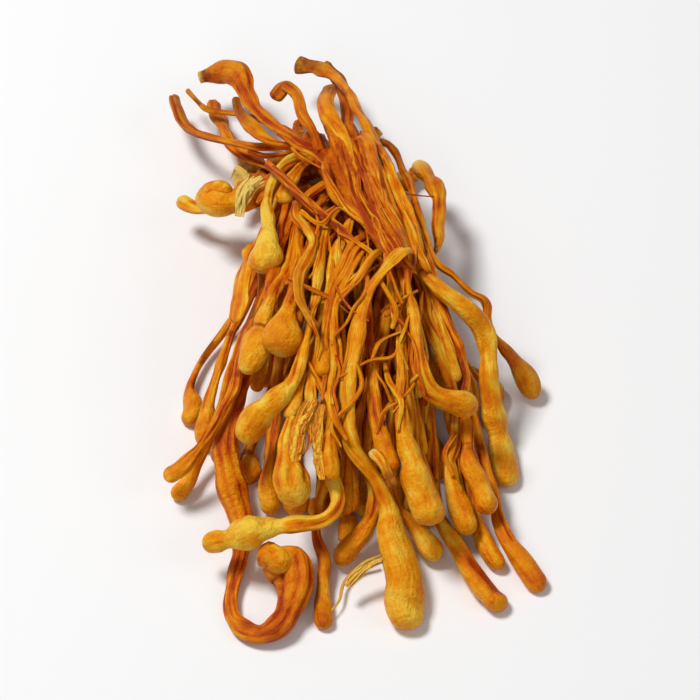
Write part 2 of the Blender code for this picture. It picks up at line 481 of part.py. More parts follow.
def joined_foot(lobes, stubs, collection, cutters):
    """Fuse the lobes and stubs in one closed body and cut it flat where it stands on the table."""
    foot = tube("foot", lobes[0], FOOT_SIDES_LEVEL, collection)
    joined = [(rows, FOOT_SIDES_LEVEL) for rows in lobes[1:]] + [(rows, STEM_SIDES_LEVEL) for rows in stubs]
    for index, (rows, level) in enumerate(joined, start=1):
        lobe = tube(f"foot_lobe_{index}", rows, level, cutters)
        lobe.display_type = "WIRE"
        lobe.hide_render = True
        fuse = foot.modifiers.new(f"fuse_{index}", "BOOLEAN")
        fuse.operation = "UNION"
        fuse.solver = "EXACT"
        fuse.object = lobe
    bpy.ops.mesh.primitive_cube_add(size=TABLE_CUT_SIZE, location=(0, 0, -TABLE_CUT_SIZE / 2))
    table = bpy.context.object
    table.name = "table_cut"
    bpy.context.collection.objects.unlink(table)
    cutters.objects.link(table)
    table.display_type = "WIRE"
    table.hide_render = True
    trim = foot.modifiers.new("flat_underside", "BOOLEAN")
    trim.operation = "DIFFERENCE"
    trim.solver = "EXACT"
    trim.object = table
    return foot


def settled_mesh(body):
    """Replace a body's mesh by its evaluated one and drop its modifiers."""
    bpy.context.view_layer.update()
    evaluated = body.evaluated_get(bpy.context.evaluated_depsgraph_get())
    mesh = bpy.data.meshes.new_from_object(evaluated)
    body.modifiers.clear()
    body.data = mesh
    weld(mesh)


def centre_on_origin(bodies):
    """Move every mesh so that the clump's box stands centred on the origin."""
    corners = np.array([vertex.co for body in bodies for vertex in body.data.vertices])
    low, high = corners.min(axis=0), corners.max(axis=0)
    middle = Vector((-(low[0] + high[0]) / 2, -(low[1] + high[1]) / 2, -low[2]))
    for body in bodies:
        body.data.transform(Matrix.Translation(middle))


def build():
    """Build the clump."""
    clear_scene()
    collection = bpy.data.collections.new("dried_cordyceps")
    cutters = bpy.data.collections.new("cutters")
    bpy.context.scene.collection.children.link(collection)
    bpy.context.scene.collection.children.link(cutters)

    keys = {name: in_space(points) for name, points in (BACK_STEMS | TOP_STEMS).items()}
    lobes = [ringed(in_space(points)) for points in FOOT_LOBES]
    stubs = [ringed(in_space(points)) for points in FOOT_STUBS]
    keys |= under_stem_keys(lobes[FRONT_EDGE_LOBE])
    routes = spaced_out([ringed(rows) for rows in keys.values()], lobes + stubs)

    bodies = []
    for name, rows in zip(keys, routes):
        body = tube(name, rows, STEM_SIDES_LEVEL, collection)
        press_on_table(body.data)
        body.data.materials.append(plain_material(name + "_orange", ORANGE, STEM_ROUGHNESS))
        bodies.append(body)
    foot = joined_foot(lobes, stubs, collection, cutters)
    settled_mesh(foot)
    foot.data.materials.append(plain_material("foot_orange", DEEP_ORANGE, FOOT_ROUGHNESS))
    bodies.append(foot)
    centre_on_origin(bodies)


build()
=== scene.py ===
"""Dried cordyceps: the looks of one clump of slender orange fungus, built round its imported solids.

Every stem's solid is read back as a middle line with half widths, and a furrowed skin is laid over that line.
The foot is remeshed and combed into fibres, strands are draped over its sheet, thin stems and threads fill
the heap, and pale rags hang on the foot. Lengths are in millimetres until a mesh is made.
"""

import math
from dataclasses import dataclass, replace
from functools import cache

import bmesh
import bpy
import numpy as np
from bpy.props import FloatProperty, FloatVectorProperty, IntProperty, PointerProperty
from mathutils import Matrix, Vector, noise
from mathutils.bvhtree import BVHTree


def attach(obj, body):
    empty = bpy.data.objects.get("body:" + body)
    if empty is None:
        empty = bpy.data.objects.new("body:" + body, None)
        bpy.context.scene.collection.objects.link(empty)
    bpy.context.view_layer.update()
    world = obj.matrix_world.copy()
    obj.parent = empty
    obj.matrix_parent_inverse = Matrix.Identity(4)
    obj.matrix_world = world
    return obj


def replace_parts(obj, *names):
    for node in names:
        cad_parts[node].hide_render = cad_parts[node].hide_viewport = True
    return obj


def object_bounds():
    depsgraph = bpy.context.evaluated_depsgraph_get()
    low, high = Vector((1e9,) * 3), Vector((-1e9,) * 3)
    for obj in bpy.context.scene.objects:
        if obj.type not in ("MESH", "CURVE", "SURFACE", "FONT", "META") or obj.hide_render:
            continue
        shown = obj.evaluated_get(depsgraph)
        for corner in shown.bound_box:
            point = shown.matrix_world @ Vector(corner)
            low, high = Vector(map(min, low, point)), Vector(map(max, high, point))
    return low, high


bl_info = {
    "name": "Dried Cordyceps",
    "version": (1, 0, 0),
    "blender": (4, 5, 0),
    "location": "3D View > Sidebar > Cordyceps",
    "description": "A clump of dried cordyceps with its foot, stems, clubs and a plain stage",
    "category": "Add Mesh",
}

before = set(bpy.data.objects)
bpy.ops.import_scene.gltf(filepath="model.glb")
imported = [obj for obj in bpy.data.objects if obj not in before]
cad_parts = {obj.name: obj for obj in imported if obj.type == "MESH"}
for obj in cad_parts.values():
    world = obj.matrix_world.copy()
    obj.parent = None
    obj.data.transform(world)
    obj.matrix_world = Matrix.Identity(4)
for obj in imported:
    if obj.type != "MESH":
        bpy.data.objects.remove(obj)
cad_low, cad_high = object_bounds()

MM = 0.001
BODY = "root"
FLESH = "dried_cordyceps_flesh"
FOOT = "foot"
BACK_STEMS = ("bent_back_stem", "blunt_back_stem", "knob_back_stem", "dark_back_stem", "thin_back_stem",
              "stub_back_stem", "low_back_stem")
UNDER_STEMS = tuple(sorted(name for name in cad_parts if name.startswith("under_stem")))
TOP_STEMS = tuple(sorted(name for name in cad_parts
                         if name not in (FOOT, *BACK_STEMS, *UNDER_STEMS)))
STRAY_STEMS = ("long_bow_stem", "loop_stem", "left_sweep_stem", "fat_left_stem", "right_hook_stem",
               "far_right_stem", "side_club_stem")    # they leave the heap, so no thin stem runs beside them

# Corners round each kind of skin, the distance between its rings where that isn't the usual one, and the
# seeds of the random draws
SIDES = {"back": 30, "top": 34, "under": 24, "thin": 14, "strand": 20, "blade": 28, "core": 40, "fibre": 12,
         "twig": 16, "lump": 28, "thread": 10}
STEPS = {"thin": 0.4, "core": 0.1, "fibre": 0.14}
SEEDS = {"foot": 5, "back": 100, "top": 200, "under": 300, "thin": 400, "sheet": 500, "threads": 600,
         "rags": 700}

# How the solids are read
WELD = 0.000001
RING = 6                  # corners of a stem's solid at each ring
TIP_SHARE = 0.30          # a solid's last ring is this share of its club's half width
FLAT_ANGLE = math.radians(0.5)
FACET_LOSS = 1.05         # a six-sided stem is drawn this much fuller than the round one
ROOT_REACH = 4.5          # a root this near the foot is led on into it
ROOT_AHEAD = 2.0
ROOT_DEPTH = 0.5
ROOT_FLARE = 1.2

# How a stem's skin leaves its solid
ROOT_CAP = 0.5            # the root closes over this share of its half width
HELD = 3.0                # a stem's ends keep to the solid's middle line over this length
SIDE_BENDS = 3.6
UP_BENDS = 4.4
KNOT_WAVE = 4.0
BUMP_WAVE = 2.6
TAPER_REACH = 3.4
CLUB_SWELL = (1.2, 1.8)   # a club begins, and is full, at so many times the stem's median half width
CLUB_HALF = (0.8, 1.2)    # or at this half width
NECK_WAVES = (2, 3, 5)    # how many waves run round a neck, and round a club
CLUB_WAVES = (1, 2, 3)
NECK_RELIEF = 0.07        # shares of the half width
CLUB_RELIEF = 0.05
RIDGE_RELIEF = 0.12       # where the relief is this high the skin gets the painted highlight of a ridge; where it is low, the painted shade of a furrow

# How places in the tilted view turn into places on the table
VIEW_TILT = math.radians(50.0)
VIEW_MIDDLE = np.array((1.3, 2.6))    # where the view's zero lies in the clump
TOWARD = np.array((0.0, -math.cos(VIEW_TILT), math.sin(VIEW_TILT)))
FAR = 100.0
DRAPE_STEP = 0.5          # a line that lies on the heap is worked out this often along it
DRAPE_FALL = 0.3          # and is so stiff that it falls no more than this from step to step
DRAPE_SOFTNESS = 7        # its heights are averaged over so many steps

# Painted shade: where stems lie close together, or the foot is shut in, the colour is darkened towards dark
# red, as shade
PAINTED_SHADE_RAYS = 10
PAINTED_SHADE_REACH = 4.0
PAINTED_SHADE_START = 1.4         # half widths off the middle line, outside the stem's own solid
PAINTED_SHADE_LIFT = 0.6          # off the foot's surface
PAINTED_SHADE_LEANS = ((0.0, 0.0, 0.0), (0.8, 0.0, 0.0), (-0.8, 0.0, 0.0), (0.0, 0.8, 0.0), (0.0, -0.8, 0.0))

# The foot
FOOT_VOXEL = 0.22
FOOT_FOCUS = np.array((-8.0, 46.0))    # its fibres fan out from here, in x and y
FOOT_FAN = 30.0           # mm across the fibres for each radian of the fan
FOOT_COMB = ((2.6, 0.45), (1.2, 0.35), (0.7, 0.2))    # widths of the fibres and their shares
FOOT_CRUMPLE = 1.3
TORN_BELOW = (8.0, 5.0)   # it is combed above the first height and torn below the second


@dataclass
class Traits:
    """What sets one stem apart from the others, with what is usual. Lengths are in mm."""

    tone: float = 0.0          # from deep orange, -1, to pale ochre, 1
    flat: float = 0.18         # how much wider than thick it is
    furrows: float = 0.26      # their depth as a share of the half width
    blunt: float = 1.25        # length of the tip's rounding in half widths
    taper: float = 0.0         # how much thinner it gets at the tip
    brown: float = 0.0         # how browned its outer half is
    brown_root: float = 0.0    # how far from the root it is brown
    cream: float = 0.0         # how pale it is all over
    cream_tip: float = 0.0     # how far from the tip it is pale
    bumps: float = 0.0         # depth of a club's bumps
    folds: float = 0.0         # of the folds where it is thick
    groove: float = 0.0        # of a spoon's hollow
    rough: float = 0.0         # of small bumps all over
    torn: float = 0.0          # of the bumps of a torn tip
    collar: float = 0.0        # how far from the tip a collar stands
    waists: tuple = ()         # where it is narrower or wider: distance from the tip, share, reach


TRAITS = {
    "bent_back_stem": Traits(brown=0.3, cream_tip=1.1, blunt=0.2, torn=0.3, taper=0.4,
                             waists=((6.0, 0.32, 2.6),)),
    "blunt_back_stem": Traits(tone=-0.35, brown=0.6, blunt=0.5),
    "knob_back_stem": Traits(tone=-0.15, brown=0.4, blunt=0.6),
    "dark_back_stem": Traits(tone=-0.5, brown=1.1, furrows=0.24),
    "thin_back_stem": Traits(tone=-0.1, brown=0.4, flat=0.1),
    # The stub's dark tone and its browning are painted shade: they make it read as a stem in shadow behind
    # the others
    "stub_back_stem": Traits(tone=-0.5, brown=0.7, blunt=0.5, taper=0.45),
    "low_back_stem": Traits(tone=-0.2, brown=0.4),
    "long_bow_stem": Traits(brown_root=7.0, flat=0.25, collar=8.6, furrows=0.12),
    "side_club_stem": Traits(tone=0.05, waists=((4.8, -0.14, 1.0), (1.6, 0.08, 1.2))),
    "light_bow_stem": Traits(tone=0.5, flat=0.3, furrows=0.1),
    "far_right_stem": Traits(tone=-0.05, brown=0.3, brown_root=16.0, flat=0.1),
    "pale_bulb_stem": Traits(tone=0.9, furrows=0.1, waists=((1.9, 0.12, 1.2), (5.6, -0.25, 1.3))),
    "pale_knob_stem": Traits(tone=0.5),
    "round_club_stem": Traits(tone=0.45, waists=((1.9, 0.1, 1.2), (4.6, -0.2, 1.2))),
    "oval_club_stem": Traits(tone=0.3, waists=((5.6, -0.26, 0.9), (2.6, 0.08, 1.6))),
    "plump_left_stem": Traits(tone=0.45, bumps=0.06, waists=((4.4, -0.14, 0.9),)),
    "leaf_stem": Traits(tone=0.4, flat=0.5),
    "ragged_neck_stem": Traits(tone=0.15, folds=0.3),
    "knuckle_stem": Traits(tone=0.55, bumps=0.1,
                           waists=((2.8, -0.26, 0.7), (5.4, 0.3, 1.5), (8.6, -0.2, 0.9), (10.6, 0.2, 1.0))),
    "cream_knob_stem": Traits(tone=0.7, cream_tip=1.2),
    "fat_left_stem": Traits(tone=0.35, bumps=0.08, waists=((4.4, -0.22, 0.7), (2.0, 0.1, 1.4))),
    "loop_stem": Traits(tone=-0.15, flat=0.35, folds=0.22),
    "spoon_club_stem": Traits(tone=-0.15, groove=0.34),
    "right_hook_stem": Traits(tone=0.15, brown_root=4.0, bumps=0.12, cream_tip=3.0, brown=0.3,
                              waists=((3.6, -0.26, 0.9), (1.5, 0.14, 1.1))),
    "crossing_stem": Traits(tone=-0.2),
    "zigzag_stem": Traits(tone=0.3),
    "kinked_stem": Traits(tone=0.25, brown=0.5, waists=((3.4, 0.2, 1.2), (1.0, -0.15, 0.7))),
    "mid_club_stem": Traits(tone=0.25, waists=((7.4, -0.16, 1.0), (2.0, 0.08, 1.4))),
    "right_drop_stem": Traits(tone=0.2),
    "small_club_stem": Traits(tone=-0.3, brown=0.2),
}

# Strands that are draped over the sheet, between its two edges, as across and up the view
SHEET_LEFT_EDGE = [(-3.2, 23.6), (-2.4, 19.8), (-1.6, 16.2), (-0.2, 13.6), (2.0, 10.0), (3.6, 7.6)]
SHEET_RIGHT_EDGE = [(1.4, 23.0), (3.4, 19.0), (5.0, 15.0), (6.4, 11.4), (7.2, 8.6), (8.6, 5.6)]
SHEET_STRANDS = 30
SHEET_SMOOTH = 0.45       # left of this share of its width the sheet is nearly smooth
BLADE = [(-3.7, 28.9), (-3.9, 26.4), (-3.2, 24.2), (-1.9, 22.0), (-0.9, 19.6), (-0.3, 17.8)]

# Twigs and threads that lie on the heap: half width, tone, brown, cream, and the places that each one passes
TWIGS = [
    (0.17, -0.3, 0.7, 0.0, [(-8.0, 6.2), (-5.8, 5.2), (-3.2, 3.9), (-1.4, 2.4)]),
    (0.25, -0.1, 0.4, 0.0, [(-10.0, 19.0), (-7.6, 16.6), (-4.8, 13.4)]),
    (0.24, 0.0, 0.2, 0.0, [(-4.2, 18.7), (-3.0, 16.2), (-1.4, 13.8), (1.2, 11.8), (2.6, 9.6)]),
    (0.22, 0.4, 0.0, 0.0, [(-6.8, 13.8), (-4.4, 12.4), (-2.4, 14.1), (-1.6, 13.8)]),
    (0.28, 0.3, 0.0, 0.0, [(-4.4, 12.0), (-5.0, 9.8), (-5.2, 7.0), (-5.8, 6.2)]),
    (0.23, 0.4, 0.0, 0.0, [(-2.6, 11.3), (-0.2, 10.3), (1.2, 9.0), (0.4, 7.8), (-1.2, 6.4), (-2.6, 4.4)]),
    (0.18, 0.1, 0.1, 0.0, [(-3.7, 11.0), (-3.4, 8.5), (-3.2, 4.6)]),
    (0.13, -0.5, 0.9, 0.0, [(4.6, 15.9), (5.6, 15.7), (6.8, 15.6), (8.1, 15.5)]),
    (0.2, 0.1, 0.1, 0.0, [(0.8, -3.4), (1.8, -0.8), (4.2, 0.4)]),
    (0.17, 0.3, 0.3, 0.6, [(1.6, -24.2), (-0.4, -25.0), (-1.8, -26.4), (-2.6, -28.4), (-3.4, -29.4)]),
    (0.16, 0.2, 0.0, 0.0, [(-3.4, 4.4), (-3.6, 1.6), (-3.3, -1.0)]),
    (0.2, 0.3, 0.0, 0.0, [(-4.6, 4.2), (-5.3, 1.8), (-4.6, -0.6), (-4.9, -2.4)]),
    (0.26, 0.4, 0.0, 0.0, [(2.4, -2.9), (3.0, -4.6), (4.0, -7.2), (3.8, -10.2)]),
    (0.4, 0.0, 0.1, 0.0, [(-5.7, -2.9), (-3.9, -6.2), (-2.7, -9.3), (-1.6, -11.3)]),
    (0.34, 0.1, 0.1, 0.0, [(10.2, -10.6), (9.0, -12.8), (9.8, -15.2)]),
    (0.22, -0.3, 0.4, 0.0, [(-9.6, 23.0), (-7.6, 21.6), (-5.2, 20.4), (-3.6, 18.6)]),
    (0.26, -0.5, 0.6, 0.0, [(-13.0, 21.2), (-10.4, 20.4), (-7.6, 20.8), (-5.4, 21.8)]),
    (0.17, 0.3, 0.1, 0.0, [(-8.4, 22.2), (-6.4, 20.0), (-4.6, 18.9)]),
]

# Lumps: half width, tone, how far the root is brown and the tip cream, the lift off the heap, and the places
LUMPS = [
    (1.0, 0.4, 0.0, 0.0, -0.3, [(-17.8, 15.9), (-16.4, 16.6), (-14.6, 16.3)]),
    (0.55, 0.4, 3.4, 1.5, 0.5, [(3.4, -16.2), (2.7, -14.6), (2.0, -13.3), (0.9, -12.4)]),
    (1.5, 0.35, 0.0, 0.0, -0.75, [(-11.0, -23.0), (-9.6, -23.5), (-7.7, -24.8)]),
]

# Strewn threads keep to the top of the heap and to its middle
THREAD_HEIGHT = 5.0
THREAD_FALL = 5.0
THREAD_SIDE = 7.6
THREAD_STEPS = 5

# Thin stems between two neighbouring ones
COMPARED_AT = np.array((0.3, 0.6, 0.85))    # stems are neighbours if they are near each other here
THIN_HALF = (0.22, 0.46)
THIN_CLUBS = 0.35         # this share of them ends in a small club
CLUB_END = np.array((1.3, 1.9, 1.7))
BARE_END = np.array((0.9, 0.8, 0.6))

# Torn pieces: half width, tone, cream, and the places that each one passes. Pale rags hang at the foot's left
# end, flakes on stems in front
RAGS = [
    (0.75, 0.8, 0.95, [(-14.6, 17.2), (-13.6, 18.8), (-11.4, 19.9)]),
    (0.65, 0.8, 0.95, [(-13.8, 13.4), (-13.4, 15.4), (-12.2, 17.2), (-11.2, 17.9)]),
    (0.4, 0.8, 0.95, [(-14.4, 19.4), (-13.4, 18.4), (-12.8, 17.2)]),
]
FLAKES = [
    (0.42, 0.4, 0.5, [(2.2, -23.7), (0.8, -24.3), (-0.6, -25.4), (-1.7, -26.7)]),
    (0.7, 0.4, 0.1, [(-5.0, -6.8), (-6.4, -9.6), (-7.0, -12.6), (-7.6, -15.0)]),
    (0.5, 0.3, 0.1, [(-4.2, -7.4), (-4.7, -10.2), (-4.5, -13.4), (-4.2, -15.4)]),
]
FLAKE_FIBRES = 7

# The stage, in metres: each light's name, place, size and power
LIGHTS = (("key_light", (-0.24, 0.10, 0.52), 0.16, 2.75),
          ("side_light", (0.45, -0.20, 0.35), 0.3, 0.4),
          ("front_light", (-0.10, -0.5, 0.4), 0.3, 0.5))
FLOOR_REACH = 1.5
AIM_HEIGHT = 0.006


class CordycepsSkin(bpy.types.PropertyGroup):
    """Shape of the stems' skin"""

    fullness: FloatProperty(
        name="Fullness", description="How much thicker a stem is drawn than its solid, which closes the gaps",
        default=1.08, min=1.0, max=1.3, subtype="FACTOR")
    furrow_count: IntProperty(
        name="Furrows", description="Lengthwise furrows round a stem", default=6, min=1, max=12)
    sway: FloatProperty(
        name="Sway", description="How far a stem bends off its solid's middle line, in mm",
        default=0.28, min=0.0, max=0.4)
    knots: FloatProperty(
        name="Knots", description="How much a stem's thickness comes and goes", default=0.2, subtype="FACTOR")
    step: FloatProperty(
        name="Ring Spacing", description="Distance between the rings of a stem's skin, in mm",
        default=0.25, min=0.1, max=1.0)


class CordycepsFilling(bpy.types.PropertyGroup):
    """Thin stems and threads between the stems that have a solid"""

    stems: IntProperty(name="Thin Stems", description="Thin stems in each of two layers", default=48, min=0)
    threads: IntProperty(name="Threads", description="Threads over the heap", default=36, min=0)


def colour_property(name, description, default):
    """Return a colour that the user can change."""
    return FloatVectorProperty(name=name, description=description, subtype="COLOR", default=default)


class CordycepsColours(bpy.types.PropertyGroup):
    """Colours of the dried flesh, and the dark red of its painted shade"""

    # Painted shade in the furrows, and the real deep orange of dark-toned skin
    shadow: colour_property("Furrow", "Red-orange in the furrows", (0.36, 0.030, 0.001))
    orange: colour_property("Orange", "The usual orange of the skin", (0.64, 0.128, 0.001))
    # The painted highlight on ridges, and the real yellow-orange of clubs
    amber: colour_property("Amber", "Yellow-orange of ridges and clubs", (0.79, 0.285, 0.002))
    ochre: colour_property("Ochre", "The palest ochre yellow", (0.87, 0.56, 0.05))
    brown: colour_property("Brown", "Browned ends", (0.21, 0.040, 0.003))
    cream: colour_property("Cream", "Torn flesh and rags", (0.80, 0.58, 0.14))
    # The dark red of the painted shade where stems lie close together
    gap: colour_property("Gap", "Dark red where stems lie close together", (0.17, 0.009, 0.0008))


class CordycepsStage(bpy.types.PropertyGroup):
    """Floor, light and camera"""

    floor: colour_property("Floor", "Colour of the plain floor", (0.9, 0.9, 0.9))
    sky: FloatProperty(name="Sky", description="Strength of the even light from all sides", default=0.19)
    elevation: FloatProperty(
        name="View Height", description="Angle of the camera above the table", subtype="ANGLE",
        default=VIEW_TILT)
    focal_length: FloatProperty(
        name="Focal Length", description="Focal length of the camera, in mm", default=220.0)
    frame_height: FloatProperty(
        name="Frame Height", description="Height of the picture at the clump", default=0.077,
        unit="LENGTH", subtype="DISTANCE")
    aim: FloatProperty(
        name="Aim", description="How far in front of the clump's middle the camera aims", default=0.0045,
        unit="LENGTH", subtype="DISTANCE")


class Value:
    """A number socket that can be reckoned with; each step adds its Math node."""

    def __init__(self, paint, socket):
        self.paint = paint
        self.socket = socket

    def __add__(self, other):
        return self.paint.maths("ADD", self, other)

    __radd__ = __add__

    def __mul__(self, other):
        return self.paint.maths("MULTIPLY", self, other)

    __rmul__ = __mul__

    def __sub__(self, other):
        return self.paint.maths("SUBTRACT", self, other)

    def __rsub__(self, other):
        return self.paint.maths("SUBTRACT", other, self)

    def clamped(self):
        """Return the value held between 0 and 1."""
        return self.paint.maths("ADD", self, 0.0, use_clamp=True)


class Paint:
    """A material and the nodes that are added to it."""

    def __init__(self, name):
        self.material = bpy.data.materials.new(name)
        self.material.use_nodes = True
        self.tree = self.material.node_tree

    def node(self, kind, settings=None, inputs=None, output=0):
        """Add a node, set it, feed its sockets, and return its output as a value."""
        made = self.tree.nodes.new(kind)
        for name, setting in (settings or {}).items():
            setattr(made, name, setting)
        for place, given in (inputs or {}).items():
            self.feed(made.inputs[place], given)
        return Value(self, made.outputs[output])

    def feed(self, socket, given):
        """Link a value to a socket, or set the socket; a colour gets full alpha."""
        if isinstance(given, Value):
            self.tree.links.new(given.socket, socket)
        elif socket.type == "RGBA":
            socket.default_value = (*given, 1.0)
        else:
            socket.default_value = given

    def maths(self, operation, *inputs, **settings):
        """Add a Math node."""
        return self.node("ShaderNodeMath", {"operation": operation, **settings}, dict(enumerate(inputs)))

    def attribute(self, name, output):
        """Read an attribute of the mesh."""
        return self.node("ShaderNodeAttribute", {"attribute_name": name}, output=output)

    def scaled(self, vector, scale):
        """Stretch a vector."""
        return self.node("ShaderNodeVectorMath", {"operation": "MULTIPLY"}, {0: vector, 1: scale})

    def noise(self, vector, scale, detail=3.0, roughness=0.55):
        """Add a noise pattern and return its strength, about 0.5 on average."""
        return self.node("ShaderNodeTexNoise", inputs={
            "Vector": vector, "Scale": scale, "Detail": detail, "Roughness": roughness}, output="Fac")

    def ramp(self, share, *stops):
        """Add a colour ramp."""
        ramp = self.node("ShaderNodeValToRGB", inputs={"Fac": share})
        elements = ramp.socket.node.color_ramp.elements
        while len(elements) < len(stops):
            elements.new(0.5)
        for element, (position, colour) in zip(elements, stops):
            element.position = position
            element.color = (*colour, 1.0)
        return ramp

    def mixed(self, share, first, second):
        """Mix two colours."""
        return self.node("ShaderNodeMix", {"data_type": "RGBA"}, {
            "Factor": share, 6: first, 7: second}, output=2)

    def finish(self, **sockets):
        """Feed the shader's own sockets, named with underscores for spaces."""
        shader = self.tree.nodes["Principled BSDF"]
        for name, given in sockets.items():
            self.feed(shader.inputs[name.replace("_", " ")], given)
        return self.material


def flesh_material(colours):
    """Return the dried orange skin, which reads the attributes that each mesh carries."""
    paint = Paint(FLESH)
    flow = paint.attribute("flow", "Vector")
    painted_relief_light, club, tone, browned, creamy, painted_shade = [
        paint.attribute(name, "Fac") for name in ("painted_relief_light", "club", "tone", "browned", "creamy", "painted_shade")]

    streaks = paint.noise(paint.scaled(flow, (2.6, 2.6, 0.2)), 1.0, detail=4.0)
    fibres = paint.noise(paint.scaled(flow, (9.0, 9.0, 0.6)), 1.0)
    patches = paint.noise(flow, 0.42)
    grain = paint.noise(flow, 6.5, detail=2.0)
    flecks = paint.noise(flow, 1.7, detail=4.0, roughness=0.65)

    # The ramp rises with the painted relief light (ridges lit, furrows shaded) and with the skin's real tone,
    # streaks and patches
    depth = 0.5 + painted_relief_light * 0.28 + tone * 0.3 + (streaks - 0.5) * 0.8 * (1.0 - club * 0.5)
    depth = depth + (patches - 0.5) * 1.1 + (grain - 0.5) * 0.2 + (fibres - 0.5) * 0.5 * (1.0 - club)
    skin = paint.ramp(depth.clamped(), (0.04, colours.shadow), (0.36, colours.orange),
                      (0.68, colours.amber), (1.0, colours.ochre))
    skin = paint.mixed(((flecks - 0.62) * 6.0).clamped() * 0.6, skin, colours.brown)
    skin = paint.mixed((browned * (0.1 + flecks * 1.4)).clamped(), skin, colours.brown)
    skin = paint.mixed((creamy * (0.15 + streaks * 1.5)).clamped(), skin, colours.cream)
    # Painted shade: the skin darkens towards dark red where other stems close it in
    skin = paint.mixed(painted_shade * 0.85, skin, colours.gap)

    dents = paint.noise(paint.scaled(flow, (1.5, 1.5, 0.9)), 1.0, detail=4.0, roughness=0.6)
    height = fibres * 0.3 * (1.0 - club * 0.6) + streaks * (1.0 - club * 0.7) + dents * (0.4 + club * 0.7)
    wrinkles = paint.noise(paint.scaled(flow, (1.0, 1.0, 3.2)), 1.0)
    pimples = paint.node("ShaderNodeTexVoronoi", inputs={"Vector": flow, "Scale": 3.2}, output="Distance")
    height = height + grain * 0.12 + club * (wrinkles * 0.45 - pimples * 0.14)
    bump = paint.node("ShaderNodeBump", inputs={"Strength": 0.8, "Distance": 0.42 * MM, "Height": height})
    roughness = 0.46 + (grain - 0.5) * 0.3 - club * 0.06
    return paint.finish(Base_Color=skin, Roughness=roughness, Normal=bump, Specular_IOR_Level=0.44,
                        Specular_Tint=(1.0, 0.62, 0.18), Subsurface_Weight=0.12,
                        Subsurface_Scale=0.4 * MM, Subsurface_Radius=(1.0, 0.3, 0.04))


def floor_material(colour):
    """Return the plain matt floor."""
    paint = Paint("plain_floor")
    return paint.finish(Base_Color=colour, Roughness=0.9, Specular_IOR_Level=0.2)


def wander(chance, places, wavelength):
    """Return a smooth random number between -1 and 1 along the places."""
    steps = (places - places.min()) / (wavelength / 2)
    before = steps.astype(int)
    share = steps - before
    share = share * share * (3.0 - 2.0 * share)
    values = chance.uniform(-1.0, 1.0, int(steps.max()) + 2)
    return values[before] * (1.0 - share) + values[before + 1] * share


def softened(values, width):
    """Return the values averaged over an odd number of neighbours."""
    weights = np.hanning(width + 2)[1:-1]
    return np.convolve(np.pad(values, width // 2, mode="edge"), weights / weights.sum(), mode="valid")


def bends(chance, places, spacing):
    """Return a number between -1 and 1 that runs nearly straight from bend to bend along the places."""
    stops = np.arange(places[0], places[-1] + 2 * spacing, spacing)
    stops = stops + chance.uniform(-0.4, 0.4, len(stops)) * spacing
    return softened(np.interp(places, stops, chance.uniform(-1.0, 1.0, len(stops))), 5)


def eased_step(start, end, values):
    """Return 0 up to start, 1 from end on, and a smooth rise between."""
    share = np.clip((values - start) / (end - start), 0.0, 1.0)
    return share * share * (3.0 - 2.0 * share)


def unit(ways):
    """Return the ways with a length of 1."""
    return ways / np.maximum(np.linalg.norm(ways, axis=1), 1e-9)[:, None]


def distances(places):
    """Return how far along the places each one is."""
    return np.append(0.0, np.cumsum(np.linalg.norm(np.diff(places[:, :3], axis=0), axis=1)))


def merged_solid(*nodes):
    """Return a copy of the nodes' solids with their loose triangles joined, in mm."""
    shape = bmesh.new()
    for node in nodes:
        shape.from_mesh(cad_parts[node].data)
    bmesh.ops.remove_doubles(shape, verts=shape.verts, dist=WELD)
    bmesh.ops.scale(shape, vec=(1 / MM, 1 / MM, 1 / MM), verts=shape.verts)
    shape.normal_update()
    return shape


@cache
def surface_of(*nodes):
    """Return the surface of the nodes' solids, to be measured against, in mm."""
    shape = merged_solid(*nodes)
    surface = BVHTree.FromBMesh(shape)
    shape.free()
    return surface


def whole_heap():
    """Return the surface of all the solids."""
    return surface_of(*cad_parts)


def flat_patches(shape):
    """Yield the groups of neighbouring faces that lie in one plane."""
    left = set(shape.faces)
    while left:
        patch = [left.pop()]
        for face in patch:
            for other in {other for edge in face.edges for other in edge.link_faces}:
                if other in left and other.normal.angle(face.normal) < FLAT_ANGLE:
                    left.remove(other)
                    patch.append(other)
        yield patch


def rings_from(end):
    """Walk the rings of a stem's solid from the corners at one end of it."""
    rings = [set(end)]
    known = set(end)
    while len(rings[-1]) == RING:
        beyond = {edge.other_vert(corner) for corner in rings[-1] for edge in corner.link_edges} - known
        if not beyond:
            return rings
        known |= beyond
        rings.append(beyond)
    return []


def read_rows(node):
    """Read a stem's solid back as rows of x, y, z and half width, from its root to its tip."""
    shape = merged_solid(node)
    corners = len(shape.verts)
    for patch in flat_patches(shape):
        end = {corner for face in patch for corner in face.verts}
        rings = rings_from(end) if len(patch) == RING - 2 and len(end) == RING else []
        if len(rings) * RING == corners:
            break
    else:
        raise RuntimeError(f"the rings of {node} can't be read")
    rows = []
    for ring in rings:
        places = np.array([corner.co for corner in ring])
        middle = places.mean(axis=0)
        rows.append((*middle, np.linalg.norm(places - middle, axis=1).mean() / FACET_LOSS))
    shape.free()
    rows = np.array(rows)
    if rows[0, 3] / rows[1, 3] < rows[-1, 3] / rows[-2, 3]:
        rows = rows[::-1]
    full = rows[-1, 3] / TIP_SHARE
    to_tip = distances(rows)[-1] - distances(rows)
    inside = np.clip(1.0 - to_tip / full, 0.0, 1.0)
    rows[:, 3] /= np.maximum(np.sqrt(1.0 - inside ** 2), TIP_SHARE)
    return rows


